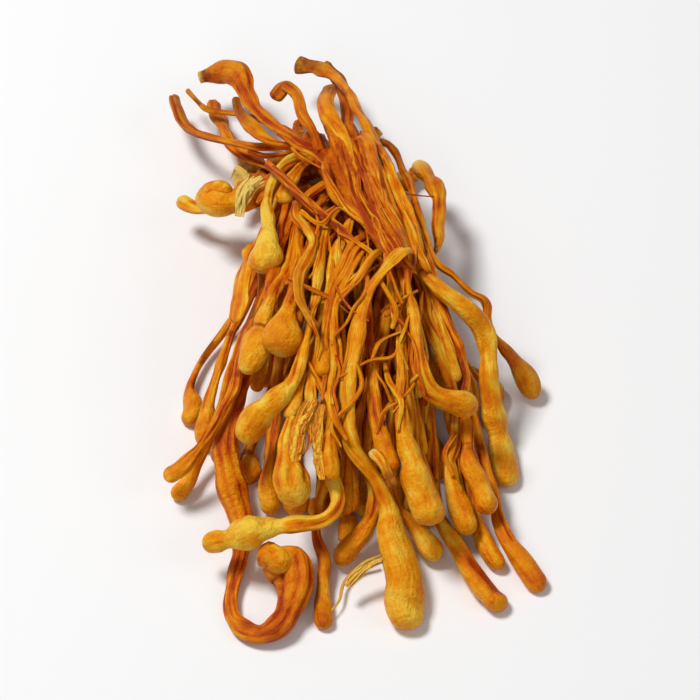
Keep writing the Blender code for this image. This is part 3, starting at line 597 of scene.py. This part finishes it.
def rooted(rows):
    """Lead a stem's root on into the foot, where that is near."""
    back = rows[0, :3] - rows[1, :3]
    ahead = rows[0, :3] + back * ROOT_AHEAD / np.linalg.norm(back)
    spot, normal, _, _ = surface_of(FOOT).find_nearest(Vector(ahead))
    inside = np.array(spot - normal * ROOT_DEPTH)
    if np.linalg.norm(inside - rows[0, :3]) > ROOT_REACH:
        return rows
    return np.vstack([(*inside, rows[0, 3] * ROOT_FLARE), rows])


def stem_rows(nodes):
    """Return the rows of each of the named stems."""
    return {node: rooted(read_rows(node)) for node in nodes}


def curve_through(rows, wanted):
    """Read a smooth curve through the rows at the wanted distances along it."""
    knots = distances(rows)
    slopes = np.gradient(rows, knots, axis=0)
    span = np.clip(np.searchsorted(knots, wanted, side="right") - 1, 0, len(knots) - 2)
    gap = (knots[span + 1] - knots[span])[:, None]
    t = (wanted - knots[span])[:, None] / gap
    line = ((1 + 2 * t) * (1 - t) ** 2 * rows[span] + t * (1 - t) ** 2 * gap * slopes[span]
            + t ** 2 * (3 - 2 * t) * rows[span + 1] + t ** 2 * (t - 1) * gap * slopes[span + 1])
    line[:, 3] = np.interp(wanted, knots, rows[:, 3])
    return line


def draped(points, half, lift, surface=None, ends_dip=0.0, facing=False, within=False):
    """Lay a line of places in the view on the heap and return its rows of x, y, z and half width.

    Past the heap a line runs on at the same height, or stops if it is to stay within. A line that is facing
    lies flat to the camera, at the depth where its middle meets the heap.
    """
    surface = surface or whole_heap()
    keys = np.array([(across, up, 0.0, half) for across, up in points])
    count = max(6, round(distances(keys)[-1] / DRAPE_STEP))
    line = curve_through(keys, np.linspace(0.0, distances(keys)[-1], count))
    base = np.stack([line[:, 0] + VIEW_MIDDLE[0], line[:, 1] / math.sin(VIEW_TILT) + VIEW_MIDDLE[1],
                     np.zeros(count)], axis=1)
    met = {}
    for index, place in enumerate(base):
        _, _, _, gone = surface.ray_cast(Vector(place + TOWARD * FAR), Vector(-TOWARD), FAR)
        if gone is not None:
            met[index] = FAR - gone
    met = met or dict.fromkeys(range(count), half)
    heights = np.interp(np.arange(count), list(met), list(met.values()))
    if within:
        kept = slice(min(met), max(met) + 1)
        line, base, heights = line[kept], base[kept], heights[kept]
        count = len(line)
    if facing:
        middle = count // 2
        heights = heights[middle] + (line[:, 1] - line[middle, 1]) / math.tan(VIEW_TILT)
    apart = np.abs(np.subtract.outer(np.arange(count), np.arange(count)))
    heights = softened((heights - DRAPE_FALL * apart).max(axis=1), DRAPE_SOFTNESS) + lift
    ends = np.minimum(np.arange(count), np.arange(count)[::-1])
    heights -= ends_dip * (1.0 - eased_step(0.0, 4.0, ends))
    return np.column_stack([base + TOWARD * heights[:, None], np.full(count, half)])


def stations(length, root_half, tip_half, step):
    """Return where a stem's rings are and how far its ends have closed there, from 0 to 1."""
    count = max(3, round((length - root_half - tip_half) / step))
    body = np.linspace(root_half, length - tip_half, count)
    turns = np.linspace(0.0, math.pi / 2, 9)[:-1]
    root = root_half * (1.0 - np.cos(turns))
    tip = length - tip_half * (1.0 - np.cos(turns[::-1]))
    places = np.concatenate([root, body, tip])
    opened = np.concatenate([np.sin(turns), np.ones(count), np.sin(turns[::-1])])
    return places, opened


def cross_frames(places):
    """Return, for each place along a line, the ways to its side and over it."""
    along = unit(np.gradient(places, axis=0))
    side = unit(np.cross(along, (0.0, 0.0, 1.0)))
    return side, np.cross(side, along)


class Line:
    """A stem's middle line at each of its rings, and the angles round them."""

    def __init__(self, rows, traits, chance, sides, step):
        skin = bpy.context.scene.cordyceps_skin
        self.chance = chance
        self.angles = np.linspace(0.0, 2 * math.pi, sides + 1)[None, :]
        self.length = distances(rows)[-1]
        tip_half = rows[-1, 3] * traits.blunt
        self.along, self.opened = stations(self.length, ROOT_CAP * rows[0, 3], tip_half, step)
        self.to_tip = self.length - self.along
        line = curve_through(rows, self.along)
        halves = softened(line[:, 3], 9)
        self.club = np.maximum(eased_step(*CLUB_SWELL, halves / np.median(halves)),
                               eased_step(*CLUB_HALF, halves))
        side, over = cross_frames(line[:, :3])
        swayed = skin.sway * np.minimum(eased_step(0.0, HELD, self.along), eased_step(0.0, HELD, self.to_tip))
        self.places = line[:, :3] + side * (swayed * bends(chance, self.along, SIDE_BENDS))[:, None]
        self.places = self.places + over * (swayed * bends(chance, self.along, UP_BENDS))[:, None]
        self.side, self.over = cross_frames(self.places)
        knots = (1.0 - 0.6 * self.club) * wander(chance, self.along, KNOT_WAVE)
        self.halves = halves * (1.0 + skin.knots * knots)
        self.halves *= 1.0 - traits.taper * eased_step(TAPER_REACH, 0.4, self.to_tip)
        self.halves *= 1.0 + traits.bumps * self.club * wander(chance, self.along, BUMP_WAVE)
        chance_waist = (chance.uniform(2.0, 8.0), -chance.uniform(0.0, 0.16), 0.9)
        for spot, change, reach in (*traits.waists, chance_waist):
            self.halves *= 1.0 + change * np.exp(-((self.to_tip - spot) / reach) ** 2)

    def wander(self, wavelength):
        """Return a smooth random number at each ring, as a column."""
        return wander(self.chance, self.along, wavelength)[:, None]

    def waves(self, counts, wavelength):
        """Return a bumpy pattern round and along the stem, between about -1 and 1."""
        total = np.zeros((len(self.along), self.angles.size))
        for count in counts:
            phase = 2.2 * self.wander(wavelength) + self.chance.uniform(0, 2 * math.pi)
            total += np.cos(count * self.angles + phase) * (0.7 + 0.5 * self.wander(wavelength))
        return total / len(counts)


def off_angle(angles, middle):
    """Return how far each angle is from the middle, from -pi to pi."""
    return (angles - middle + math.pi) % (2 * math.pi) - math.pi


def furrowed(line, depth, count):
    """Return the relief of a stem's lengthwise furrows, which drift round it and come and go."""
    chance = line.chance
    relief = np.zeros((len(line.along), line.angles.size))
    drift = 0.8 * line.wander(26.0)
    for index in range(count):
        middle = 2 * math.pi * (index + chance.uniform(-0.35, 0.35)) / count + drift
        middle = middle + 0.3 * line.wander(8.0)
        strength = depth * chance.uniform(0.5, 1.2) * np.clip(0.6 + line.wander(9.0), 0.0, 1.3)
        relief -= strength * np.exp(-(off_angle(line.angles, middle) / chance.uniform(0.2, 0.38)) ** 2)
    return relief


def special_relief(line, traits):
    """Return the relief that only some stems have: bumps, folds, a groove, a collar, a torn end."""
    relief = np.zeros((len(line.along), line.angles.size))
    club = line.club[:, None]
    to_tip = line.to_tip[:, None]
    if traits.bumps:
        relief += traits.bumps * club * line.waves((2, 3, 4), 2.2)
    if traits.folds:
        torn = eased_step(0.75, 1.1, line.halves)[:, None] * eased_step(1.2, 2.6, to_tip)
        folds = np.abs(np.sin(3.5 * line.angles + 0.5 * line.wander(9.0)))
        relief -= traits.folds * torn * (1.0 - folds ** 0.5)
    if traits.groove:
        spooned = eased_step(0.6, 2.2, to_tip) * eased_step(8.5, 5.5, to_tip)
        relief -= traits.groove * spooned * np.exp(-(off_angle(line.angles, math.pi / 2) / 0.6) ** 2)
    if traits.collar:
        ring = np.exp(-((to_tip - traits.collar) / 1.0) ** 2)
        relief += ring * (0.06 + 0.025 * line.waves((3, 5), 0.7))
    if traits.rough:
        relief += traits.rough * line.waves(NECK_WAVES, 0.7)
    if traits.torn:
        frayed = traits.torn * eased_step(1.0, 0.0, to_tip)
        relief += frayed * line.waves(NECK_WAVES, 1.0)
    return relief


def nearness(start, way):
    """Return how near the heap is from a place in one direction: 1 is touching, 0 is out of reach."""
    _, _, _, gone = whole_heap().ray_cast(Vector(start), Vector(way), PAINTED_SHADE_REACH)
    return 0.0 if gone is None else 1.0 - gone / PAINTED_SHADE_REACH


def painted_shade_round(line, wide, thick):
    """Return the painted shade at each place of a stem's skin, from 0 to 1: how shut in by other stems it is
    there.
    """
    rays = np.arange(PAINTED_SHADE_RAYS) * 2 * math.pi / PAINTED_SHADE_RAYS
    shut = np.zeros((len(line.along), PAINTED_SHADE_RAYS))
    for ring, (place, half) in enumerate(zip(line.places, line.halves)):
        for index, angle in enumerate(rays):
            way = wide[ring] * math.cos(angle) + thick[ring] * math.sin(angle)
            shut[ring, index] = nearness(place + way * half * PAINTED_SHADE_START, way)
    share = np.maximum(np.cos(rays[:, None] - line.angles), 0.0) ** 2
    return eased_step(0.3, 1.0, shut @ (share / share.sum(axis=0)))


def stem_skin(rows, traits, chance, kind):
    """Lay a furrowed skin over a stem's rows: return a grid of places and what the material reads there."""
    skin = bpy.context.scene.cordyceps_skin
    line = Line(rows, traits, chance, SIDES[kind], STEPS.get(kind, skin.step))
    club = line.club[:, None]
    relief = furrowed(line, traits.furrows, skin.furrow_count) * (1.0 - 0.8 * club)
    relief += NECK_RELIEF * (1.0 - club) * line.waves(NECK_WAVES, 6.0)
    relief += CLUB_RELIEF * club * line.waves(CLUB_WAVES, 4.5)
    relief += special_relief(line, traits)

    flat = traits.flat * (1.0 - 0.5 * club) * (1.0 + 0.6 * line.wander(9.0))
    lean = 0.9 * line.wander(22.0)
    wide = line.side * np.cos(lean) + line.over * np.sin(lean)
    thick = line.over * np.cos(lean) - line.side * np.sin(lean)
    radius = (line.halves * line.opened)[:, None] * skin.fullness * (1.0 + relief)
    out_wide = radius * np.cos(line.angles) * (1.0 + flat)
    out_thick = radius * np.sin(line.angles) * (1.0 - flat)
    surface = (line.places[:, None, :] + wide[:, None, :] * out_wide[:, :, None]
               + thick[:, None, :] * out_thick[:, :, None])

    even = np.ones_like(relief)
    along = line.along[:, None] * even
    flow = np.stack([out_wide, out_thick, along], axis=2) + chance.uniform(0, 60, 3)
    tone = traits.tone + chance.uniform(-0.3, 0.3) + 0.3 * line.wander(12.0) + 0.15 * club
    tone = tone - 0.35 * eased_step(0.35, 0.0, along / line.length)
    browned = traits.brown * eased_step(0.4 * line.length, line.length, along)
    if traits.brown_root:
        browned = browned + eased_step(traits.brown_root, 1.0, along)
    creamy = traits.cream * even
    if traits.cream_tip:
        creamy = creamy + eased_step(traits.cream_tip, 0.1, line.to_tip[:, None])
    # Painted shade, darker where other stems close in round the skin
    painted_shade = painted_shade_round(line, wide, thick)
    # Painted light of the relief: ridges lighter, as if lit, and furrows darker, as shade
    painted_relief_light = np.clip(relief / RIDGE_RELIEF + 0.4, -1.3, 1.0)
    return surface, {"flow": flow, "painted_relief_light": painted_relief_light, "club": club * even, "tone": tone * even,
                     "browned": browned * even, "creamy": creamy * even, "painted_shade": painted_shade}


def mesh_from(shape, name):
    """Turn a shape into a mesh and let the shape go."""
    mesh = bpy.data.meshes.new(name)
    shape.to_mesh(mesh)
    shape.free()
    return mesh


def added(name, data):
    """Add an object to the scene."""
    made = bpy.data.objects.new(name, data)
    bpy.context.scene.collection.objects.link(made)
    return made


def set_places(mesh, places):
    """Put a mesh's vertices at the places, held inside the solids' box, and return where they are."""
    inside = np.clip(places.reshape(-1, 3), np.array(cad_low) / MM, np.array(cad_high) / MM)
    mesh.vertices.foreach_set("co", (inside * MM).astype(np.float32).ravel())
    return inside


def grid_mesh(places, marks):
    """Turn one skin into a rolled grid with its attributes."""
    rings, corners = places.shape[:2]
    shape = bmesh.new()
    shape.loops.layers.uv.new("along")
    bmesh.ops.create_grid(shape, x_segments=corners - 1, y_segments=rings - 1, size=1.0, calc_uvs=True)
    mesh = mesh_from(shape, "skin")
    set_places(mesh, places)
    mark(mesh, marks)
    return mesh


def mark(mesh, marks):
    """Give a mesh the attributes that the flesh material reads."""
    for name, values in marks.items():
        kind, field = ("FLOAT_VECTOR", "vector") if values.shape[-1] == 3 else ("FLOAT", "value")
        layer = mesh.attributes.new(name, kind, "POINT")
        layer.data.foreach_set(field, values.astype(np.float32).ravel())


def piece_from(skins, name):
    """Join skins in one object, with their seams and ends closed."""
    shape = bmesh.new()
    for skin in skins:
        mesh = grid_mesh(*skin)
        shape.from_mesh(mesh)
        bpy.data.meshes.remove(mesh)
    bmesh.ops.remove_doubles(shape, verts=shape.verts, dist=WELD)
    bmesh.ops.recalc_face_normals(shape, faces=shape.faces)
    return piece_of(mesh_from(shape, name), name)


def piece_of(mesh, name):
    """Turn a mesh into a smooth object of flesh that rides on the clump's body."""
    mesh.shade_smooth()
    mesh.materials.append(flesh())
    piece = added(name, mesh)
    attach(piece, BODY)
    return piece


def flesh():
    """Return the flesh material, made once."""
    return bpy.data.materials.get(FLESH) or flesh_material(bpy.context.scene.cordyceps_colours)


def build_stems(names, kind):
    """Build one piece for each of the named stems."""
    for index, (node, rows) in enumerate(stem_rows(names).items()):
        chance = np.random.default_rng(SEEDS[kind] + index)
        surface = stem_skin(rows, TRAITS.get(node, Traits()), chance, kind)
        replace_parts(piece_from([surface], node + "_skin"), node)


def between(routes, chance):
    """Return the rows of a thin stem that runs between two neighbouring ones."""
    names = list(routes)
    middles = {name: curve_through(rows, distances(rows)[-1] * COMPARED_AT)[:, :3].ravel()
               for name, rows in routes.items()}
    first = names[chance.integers(len(names))]
    nearest = sorted(names, key=lambda name: np.linalg.norm(middles[name] - middles[first]))
    second = nearest[chance.integers(1, 5)]
    shares = np.linspace(chance.uniform(0.0, 0.12), chance.uniform(0.5, 0.84), 16)
    sides = [curve_through(routes[name], shares * distances(routes[name])[-1]) for name in (first, second)]
    weight = chance.uniform(0.25, 0.75)
    rows = sides[0] * weight + sides[1] * (1.0 - weight)
    half = chance.uniform(*THIN_HALF)
    rows[:, 3] = half
    rows[-3:, 3] = half * (CLUB_END if chance.random() < THIN_CLUBS else BARE_END)
    return rows


def build_filling():
    """Build the thin stems of the upper and the lower layer."""
    layers = {"upper_thin_stems": [name for name in TOP_STEMS if name not in STRAY_STEMS],
              "lower_thin_stems": UNDER_STEMS}
    for index, (name, nodes) in enumerate(layers.items()):
        routes = stem_rows(nodes)
        chance = np.random.default_rng(SEEDS["thin"] + index)
        skins = []
        for _ in range(bpy.context.scene.cordyceps_filling.stems):
            traits = Traits(tone=chance.uniform(-0.6, 0.4), flat=chance.uniform(0.1, 0.4))
            skins.append(stem_skin(between(routes, chance), traits, chance, "thin"))
        piece_from(skins, name)


def profile(rows, shares, sizes):
    """Read sizes at each of the rows, where they are given at some shares of the way along them."""
    return np.interp(np.linspace(0, 1, len(rows)), shares, sizes)


def sheet_strand(index, chance, surface):
    """Return the skin of one strand of the sheet; those at its left are sunk in it and nearly smooth."""
    left = np.array(SHEET_LEFT_EDGE)
    right = np.array(SHEET_RIGHT_EDGE)
    share = ((index + chance.uniform(0.0, 0.6)) / SHEET_STRANDS) ** 0.6
    share = share + 0.05 * bends(chance, np.arange(float(len(left))), 2.0)
    line = left + (right - left) * np.clip(share, 0.0, 1.0)[:, None]
    smooth = share.mean() < SHEET_SMOOTH
    half = chance.uniform(0.14, 0.24) if smooth else chance.uniform(0.16, 0.42)
    lift = (-0.6 if smooth else -0.2) * half
    rows = draped(line[chance.integers(0, 3):], half, lift, surface, ends_dip=1.2, within=True)
    rows[:, 3] *= profile(rows, (0, 0.2, 0.8, 1), (0.5, 1.0, 1.0, 0.6))
    tone = chance.uniform(-1.1, -0.5) if smooth else chance.uniform(-0.5, 0.3)
    traits = Traits(tone=tone, flat=0.45 if smooth else 0.3)
    return stem_skin(rows, traits, chance, "strand")


def build_sheet():
    """Build the strands and the blade that are fused over the sheet."""
    surface = surface_of(FOOT, *TOP_STEMS)
    chance = np.random.default_rng(SEEDS["sheet"])
    skins = [sheet_strand(index, chance, surface) for index in range(SHEET_STRANDS)]
    rows = draped(BLADE, 1.0, -0.3, surface)
    rows[:, 3] = profile(rows, (0, 0.08, 0.3, 0.5, 1), (0.5, 0.8, 0.9, 0.7, 0.25))
    traits = Traits(tone=0.55, flat=0.3, furrows=0.12, brown_root=3.2)
    skins.append(stem_skin(rows, traits, chance, "blade"))
    piece_from(skins, "sheet_strands")


def torn_flake(half, tone, cream, points, chance):
    """Return the skins of a torn flake that lies flat to the camera: its core and the fibres over it."""
    spine = draped(points, half, 0.3, facing=True)
    side = unit(np.cross(np.gradient(spine[:, :3], axis=0), TOWARD))
    count = len(spine)
    core = spine.copy()
    core[:, 3] = half * profile(core, (0, 0.3, 0.8, 1), (0.3, 0.66, 0.6, 0.3))
    traits = Traits(tone=tone, cream=cream, flat=0.5, rough=0.4, blunt=0.5)
    skins = [stem_skin(core, traits, chance, "core")]
    for share in np.linspace(-1.0, 1.0, FLAKE_FIBRES):
        rows = spine[chance.integers(0, count // 3):count - chance.integers(0, count // 3)].copy()
        place = np.arange(float(len(rows)))
        rows[:, :3] += side[:len(rows)] * (half * (share + 0.7 * bends(chance, place, 2.5)))[:, None]
        rows[:, :3] += TOWARD * half * (0.2 + 0.3 * bends(chance, place, 2.0) - 0.3 * share ** 2)[:, None]
        rows[:, 3] = half * chance.uniform(0.18, 0.34) * (1.0 + 0.5 * bends(chance, place, 2.0))
        rows[:, 3] *= np.interp(place / place[-1], (0, 0.3, 0.7, 1), (0.45, 1.0, 1.0, 0.4))
        skins.append(stem_skin(rows, replace(traits, rough=0.3), chance, "fibre"))
    return skins


def strewn_route(chance):
    """Return the places in the view that a thread passes as it wanders down the heap."""
    points = [np.array((chance.uniform(-6.0, 7.0), chance.uniform(-4.0, 14.0)))]
    heading = chance.normal(-math.pi / 2, 0.35)
    for _ in range(chance.integers(2, 6)):
        step = np.array((math.cos(heading), math.sin(heading)))
        points.append(points[-1] + chance.uniform(1.2, 3.0) * step)
        heading += chance.normal(0.0, 0.4)
    return points


def on_top(points, rows):
    """Tell whether a thread keeps to the top of the heap and to its middle."""
    if np.abs(points)[:, 0].max() >= THREAD_SIDE or len(rows) <= THREAD_STEPS:
        return False
    return rows[:, 2].min() > THREAD_HEIGHT and np.ptp(rows[:, 2]) < THREAD_FALL


def build_threads():
    """Build the twigs, lumps and flakes that lie where the photo has them, and threads strewn between."""
    chance = np.random.default_rng(SEEDS["threads"])
    skins = []
    for half, tone, brown, cream, points in TWIGS:
        traits = Traits(tone=tone, brown=brown, cream=cream, blunt=0.5, taper=0.5)
        skins.append(stem_skin(draped(points, half, half * 0.6), traits, chance, "twig"))
    for half, tone, brown, cream, lift, points in LUMPS:
        traits = Traits(tone=tone, brown_root=brown, cream_tip=cream, rough=0.1)
        skins.append(stem_skin(draped(points, half, lift), traits, chance, "lump"))
    for flake in FLAKES:
        skins += torn_flake(*flake, chance)
    placed = len(skins)
    while len(skins) < placed + bpy.context.scene.cordyceps_filling.threads:
        points = strewn_route(chance)
        half = chance.uniform(0.1, 0.22)
        rows = draped(points, half, half * 0.3, ends_dip=half * 2, within=True)
        if on_top(points, rows):
            traits = Traits(tone=chance.uniform(-0.4, 0.5), brown=chance.uniform(0.0, 0.4))
            skins.append(stem_skin(rows, traits, chance, "thread"))
    piece_from(skins, "threads")


def build_rags():
    """Build the pale torn rags on the foot's left end."""
    chance = np.random.default_rng(SEEDS["rags"])
    skins = [skin for rag in RAGS for skin in torn_flake(*rag, chance)]
    piece_from(skins, "pale_rags")


def crumpled(places):
    """Return a crumpled pattern, between about -1 and 1, at the places."""
    return np.array([noise.fractal(Vector(place) / FOOT_CRUMPLE, 0.8, 2.1, 4) for place in places])


def painted_shade_over(places, normals):
    """Return the painted shade at each place of a surface, from 0 to 1: how shut in it is there."""
    shut = np.zeros(len(places))
    leans = np.array(PAINTED_SHADE_LEANS)
    for index, (place, normal) in enumerate(zip(places, normals)):
        for lean in leans:
            shut[index] += nearness(place + normal * PAINTED_SHADE_LIFT, normal + lean) / len(leans)
    return eased_step(0.2, 0.9, shut)


def fine_foot():
    """Return the foot's solid remeshed finely, with its creases softened."""
    shape = merged_solid(FOOT)
    bmesh.ops.scale(shape, vec=(MM, MM, MM), verts=shape.verts)
    rough = added("foot_rough", mesh_from(shape, "foot_rough"))
    remesh = rough.modifiers.new("even_faces", "REMESH")
    remesh.mode = "VOXEL"
    remesh.voxel_size = FOOT_VOXEL * MM
    smooth = rough.modifiers.new("soft_creases", "SMOOTH")
    smooth.factor = 0.5
    smooth.iterations = 12
    bpy.context.view_layer.update()
    fine = bpy.data.meshes.new_from_object(rough.evaluated_get(bpy.context.evaluated_depsgraph_get()))
    bpy.data.objects.remove(rough)
    fine.name = "foot_flesh"
    return fine


def vectors_of(mesh, what):
    """Read the places or the normals of a mesh's vertices."""
    values = np.zeros(len(mesh.vertices) * 3, np.float32)
    mesh.vertices.foreach_get(what, values)
    return values.reshape(-1, 3).astype(float)


def combed(across, reach, height):
    """Return a pattern of fibres, between about -1 and 1, that bend a little on their way."""
    chance = np.random.default_rng(SEEDS["foot"])
    comb = np.zeros(len(across))
    for width, share in FOOT_COMB:
        bend = wander(chance, reach, 14.0) + wander(chance, height, 6.0)
        comb += share * np.sin(2 * math.pi * across / width + 1.6 * bend + chance.uniform(0, 6))
    return comb


def build_foot():
    """Build the foot: its solid remeshed finely, combed into fibres above and crumpled below."""
    fine = fine_foot()
    places = vectors_of(fine, "co") / MM
    normals = vectors_of(fine, "normal")
    height = places[:, 2]
    away = places[:, :2] - FOOT_FOCUS
    reach = np.linalg.norm(away, axis=1)
    across = np.arctan2(away[:, 0], -away[:, 1]) * FOOT_FAN
    comb = combed(across, reach, height)
    # Painted shade, darker where the foot is shut in by the stems
    painted_shade = painted_shade_over(places, normals)
    torn = eased_step(*TORN_BELOW, height)
    ragged = crumpled(places)
    lift = (0.16 - 0.08 * torn) * comb + (0.08 + 0.5 * torn) * ragged
    places = set_places(fine, places + normals * (lift * eased_step(0.02, 0.8, height))[:, None])
    # The foot's fibres and crumples get the painted light of their relief: raised ones lighter, the furrows
    # between them darker
    mark(fine, {"flow": np.stack([across, places[:, 2], reach], axis=1),
                "painted_relief_light": np.clip(0.8 * comb * (1.0 - torn) + 1.6 * ragged * torn, -1.2, 1.0),
                "club": 0.5 * torn, "tone": -0.6 + 0.35 * torn, "browned": 0.1 + 0.25 * torn,
                "creamy": 0.5 * torn * eased_step(0.25, 0.6, ragged), "painted_shade": painted_shade})
    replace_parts(piece_of(fine, "foot_flesh"), FOOT)


def aimed(name, data, place, away):
    """Add a light or a camera at a place, with its back to the way that leads away from the clump."""
    made = added(name, data)
    made.location = place
    made.rotation_euler = away.to_track_quat("Z", "Y").to_euler()
    return made


def build_stage():
    """Build the floor, the lights and the camera."""
    stage = bpy.context.scene.cordyceps_stage
    shape = bmesh.new()
    bmesh.ops.create_grid(shape, x_segments=1, y_segments=1, size=FLOOR_REACH)
    mesh = mesh_from(shape, "floor")
    mesh.materials.append(floor_material(stage.floor))
    added("floor", mesh)

    world = bpy.data.worlds.new("soft_room")
    world.use_nodes = True
    sky = world.node_tree.nodes["Background"].inputs
    sky["Color"].default_value = (1.0, 1.0, 1.0, 1.0)
    sky["Strength"].default_value = stage.sky
    bpy.context.scene.world = world
    bpy.context.scene.view_settings.view_transform = "Standard"

    middle = Vector(((cad_low[0] + cad_high[0]) / 2, (cad_low[1] + cad_high[1]) / 2 - stage.aim, AIM_HEIGHT))
    for name, place, size, power in LIGHTS:
        light = bpy.data.lights.new(name, "AREA")
        light.size = size
        light.energy = power
        aimed(name, light, place, Vector(place) - middle)

    camera = bpy.data.cameras.new("camera")
    camera.lens = stage.focal_length
    camera.clip_start = 0.01
    camera.clip_end = 10.0
    distance = stage.frame_height * stage.focal_length / camera.sensor_width
    looking = Vector((0.0, -math.cos(stage.elevation), math.sin(stage.elevation)))
    bpy.context.scene.camera = aimed("camera", camera, middle + looking * distance, looking)


class CORDYCEPS_OT_stage(bpy.types.Operator):
    """Add the plain floor, the soft lights and the camera"""

    bl_idname = "cordyceps.stage"
    bl_label = "Stage"

    def execute(self, context):
        build_stage()
        return {"FINISHED"}


class CORDYCEPS_OT_foot(bpy.types.Operator):
    """Add the torn foot and its fused sheet"""

    bl_idname = "cordyceps.foot"
    bl_label = "Foot"

    def execute(self, context):
        build_foot()
        return {"FINISHED"}


class CORDYCEPS_OT_sheet(bpy.types.Operator):
    """Add the strands and the blade over the fused sheet"""

    bl_idname = "cordyceps.sheet"
    bl_label = "Sheet Strands"

    def execute(self, context):
        build_sheet()
        return {"FINISHED"}


class CORDYCEPS_OT_rags(bpy.types.Operator):
    """Add the pale torn rags on the foot's left end"""

    bl_idname = "cordyceps.rags"
    bl_label = "Pale Rags"

    def execute(self, context):
        build_rags()
        return {"FINISHED"}


class CORDYCEPS_OT_stems(bpy.types.Operator):
    """Add the stems that have a solid: those at the back, those on top and those under the heap"""

    bl_idname = "cordyceps.stems"
    bl_label = "Stems"

    def execute(self, context):
        build_stems(BACK_STEMS, "back")
        build_stems(TOP_STEMS, "top")
        build_stems(UNDER_STEMS, "under")
        return {"FINISHED"}


class CORDYCEPS_OT_filling(bpy.types.Operator):
    """Add the thin stems between the others"""

    bl_idname = "cordyceps.filling"
    bl_label = "Thin Stems"

    def execute(self, context):
        build_filling()
        return {"FINISHED"}


class CORDYCEPS_OT_threads(bpy.types.Operator):
    """Add the twigs and threads on the heap"""

    bl_idname = "cordyceps.threads"
    bl_label = "Twigs and Threads"

    def execute(self, context):
        build_threads()
        return {"FINISHED"}


class CORDYCEPS_PT_panel(bpy.types.Panel):
    """The clump's sizes, colours and pieces"""

    bl_idname = "CORDYCEPS_PT_panel"
    bl_label = "Dried Cordyceps"
    bl_space_type = "VIEW_3D"
    bl_region_type = "UI"
    bl_category = "Cordyceps"

    def draw(self, context):
        for name in GROUPS:
            group = getattr(context.scene, name)
            box = self.layout.box()
            for setting in group.__annotations__:
                box.prop(group, setting)
        for operator in OPERATORS:
            self.layout.operator(operator.bl_idname)


GROUPS = {"cordyceps_skin": CordycepsSkin, "cordyceps_filling": CordycepsFilling,
          "cordyceps_colours": CordycepsColours, "cordyceps_stage": CordycepsStage}
OPERATORS = (CORDYCEPS_OT_stage, CORDYCEPS_OT_foot, CORDYCEPS_OT_sheet, CORDYCEPS_OT_rags,
             CORDYCEPS_OT_stems, CORDYCEPS_OT_filling, CORDYCEPS_OT_threads)


def register():
    """Register the groups, operators and panel."""
    for name, group in GROUPS.items():
        bpy.utils.register_class(group)
        setattr(bpy.types.Scene, name, PointerProperty(type=group))
    for shown in (*OPERATORS, CORDYCEPS_PT_panel):
        bpy.utils.register_class(shown)


def unregister():
    """Take everything away again."""
    for shown in (CORDYCEPS_PT_panel, *reversed(OPERATORS)):
        bpy.utils.unregister_class(shown)
    for name, group in reversed(GROUPS.items()):
        delattr(bpy.types.Scene, name)
        bpy.utils.unregister_class(group)


def main():
    """Build the whole scene."""
    register()
    bpy.ops.cordyceps.stage()
    bpy.ops.cordyceps.foot()
    bpy.ops.cordyceps.sheet()
    bpy.ops.cordyceps.rags()
    bpy.ops.cordyceps.stems()
    bpy.ops.cordyceps.filling()
    bpy.ops.cordyceps.threads()


if __name__ == "__main__":
    main()
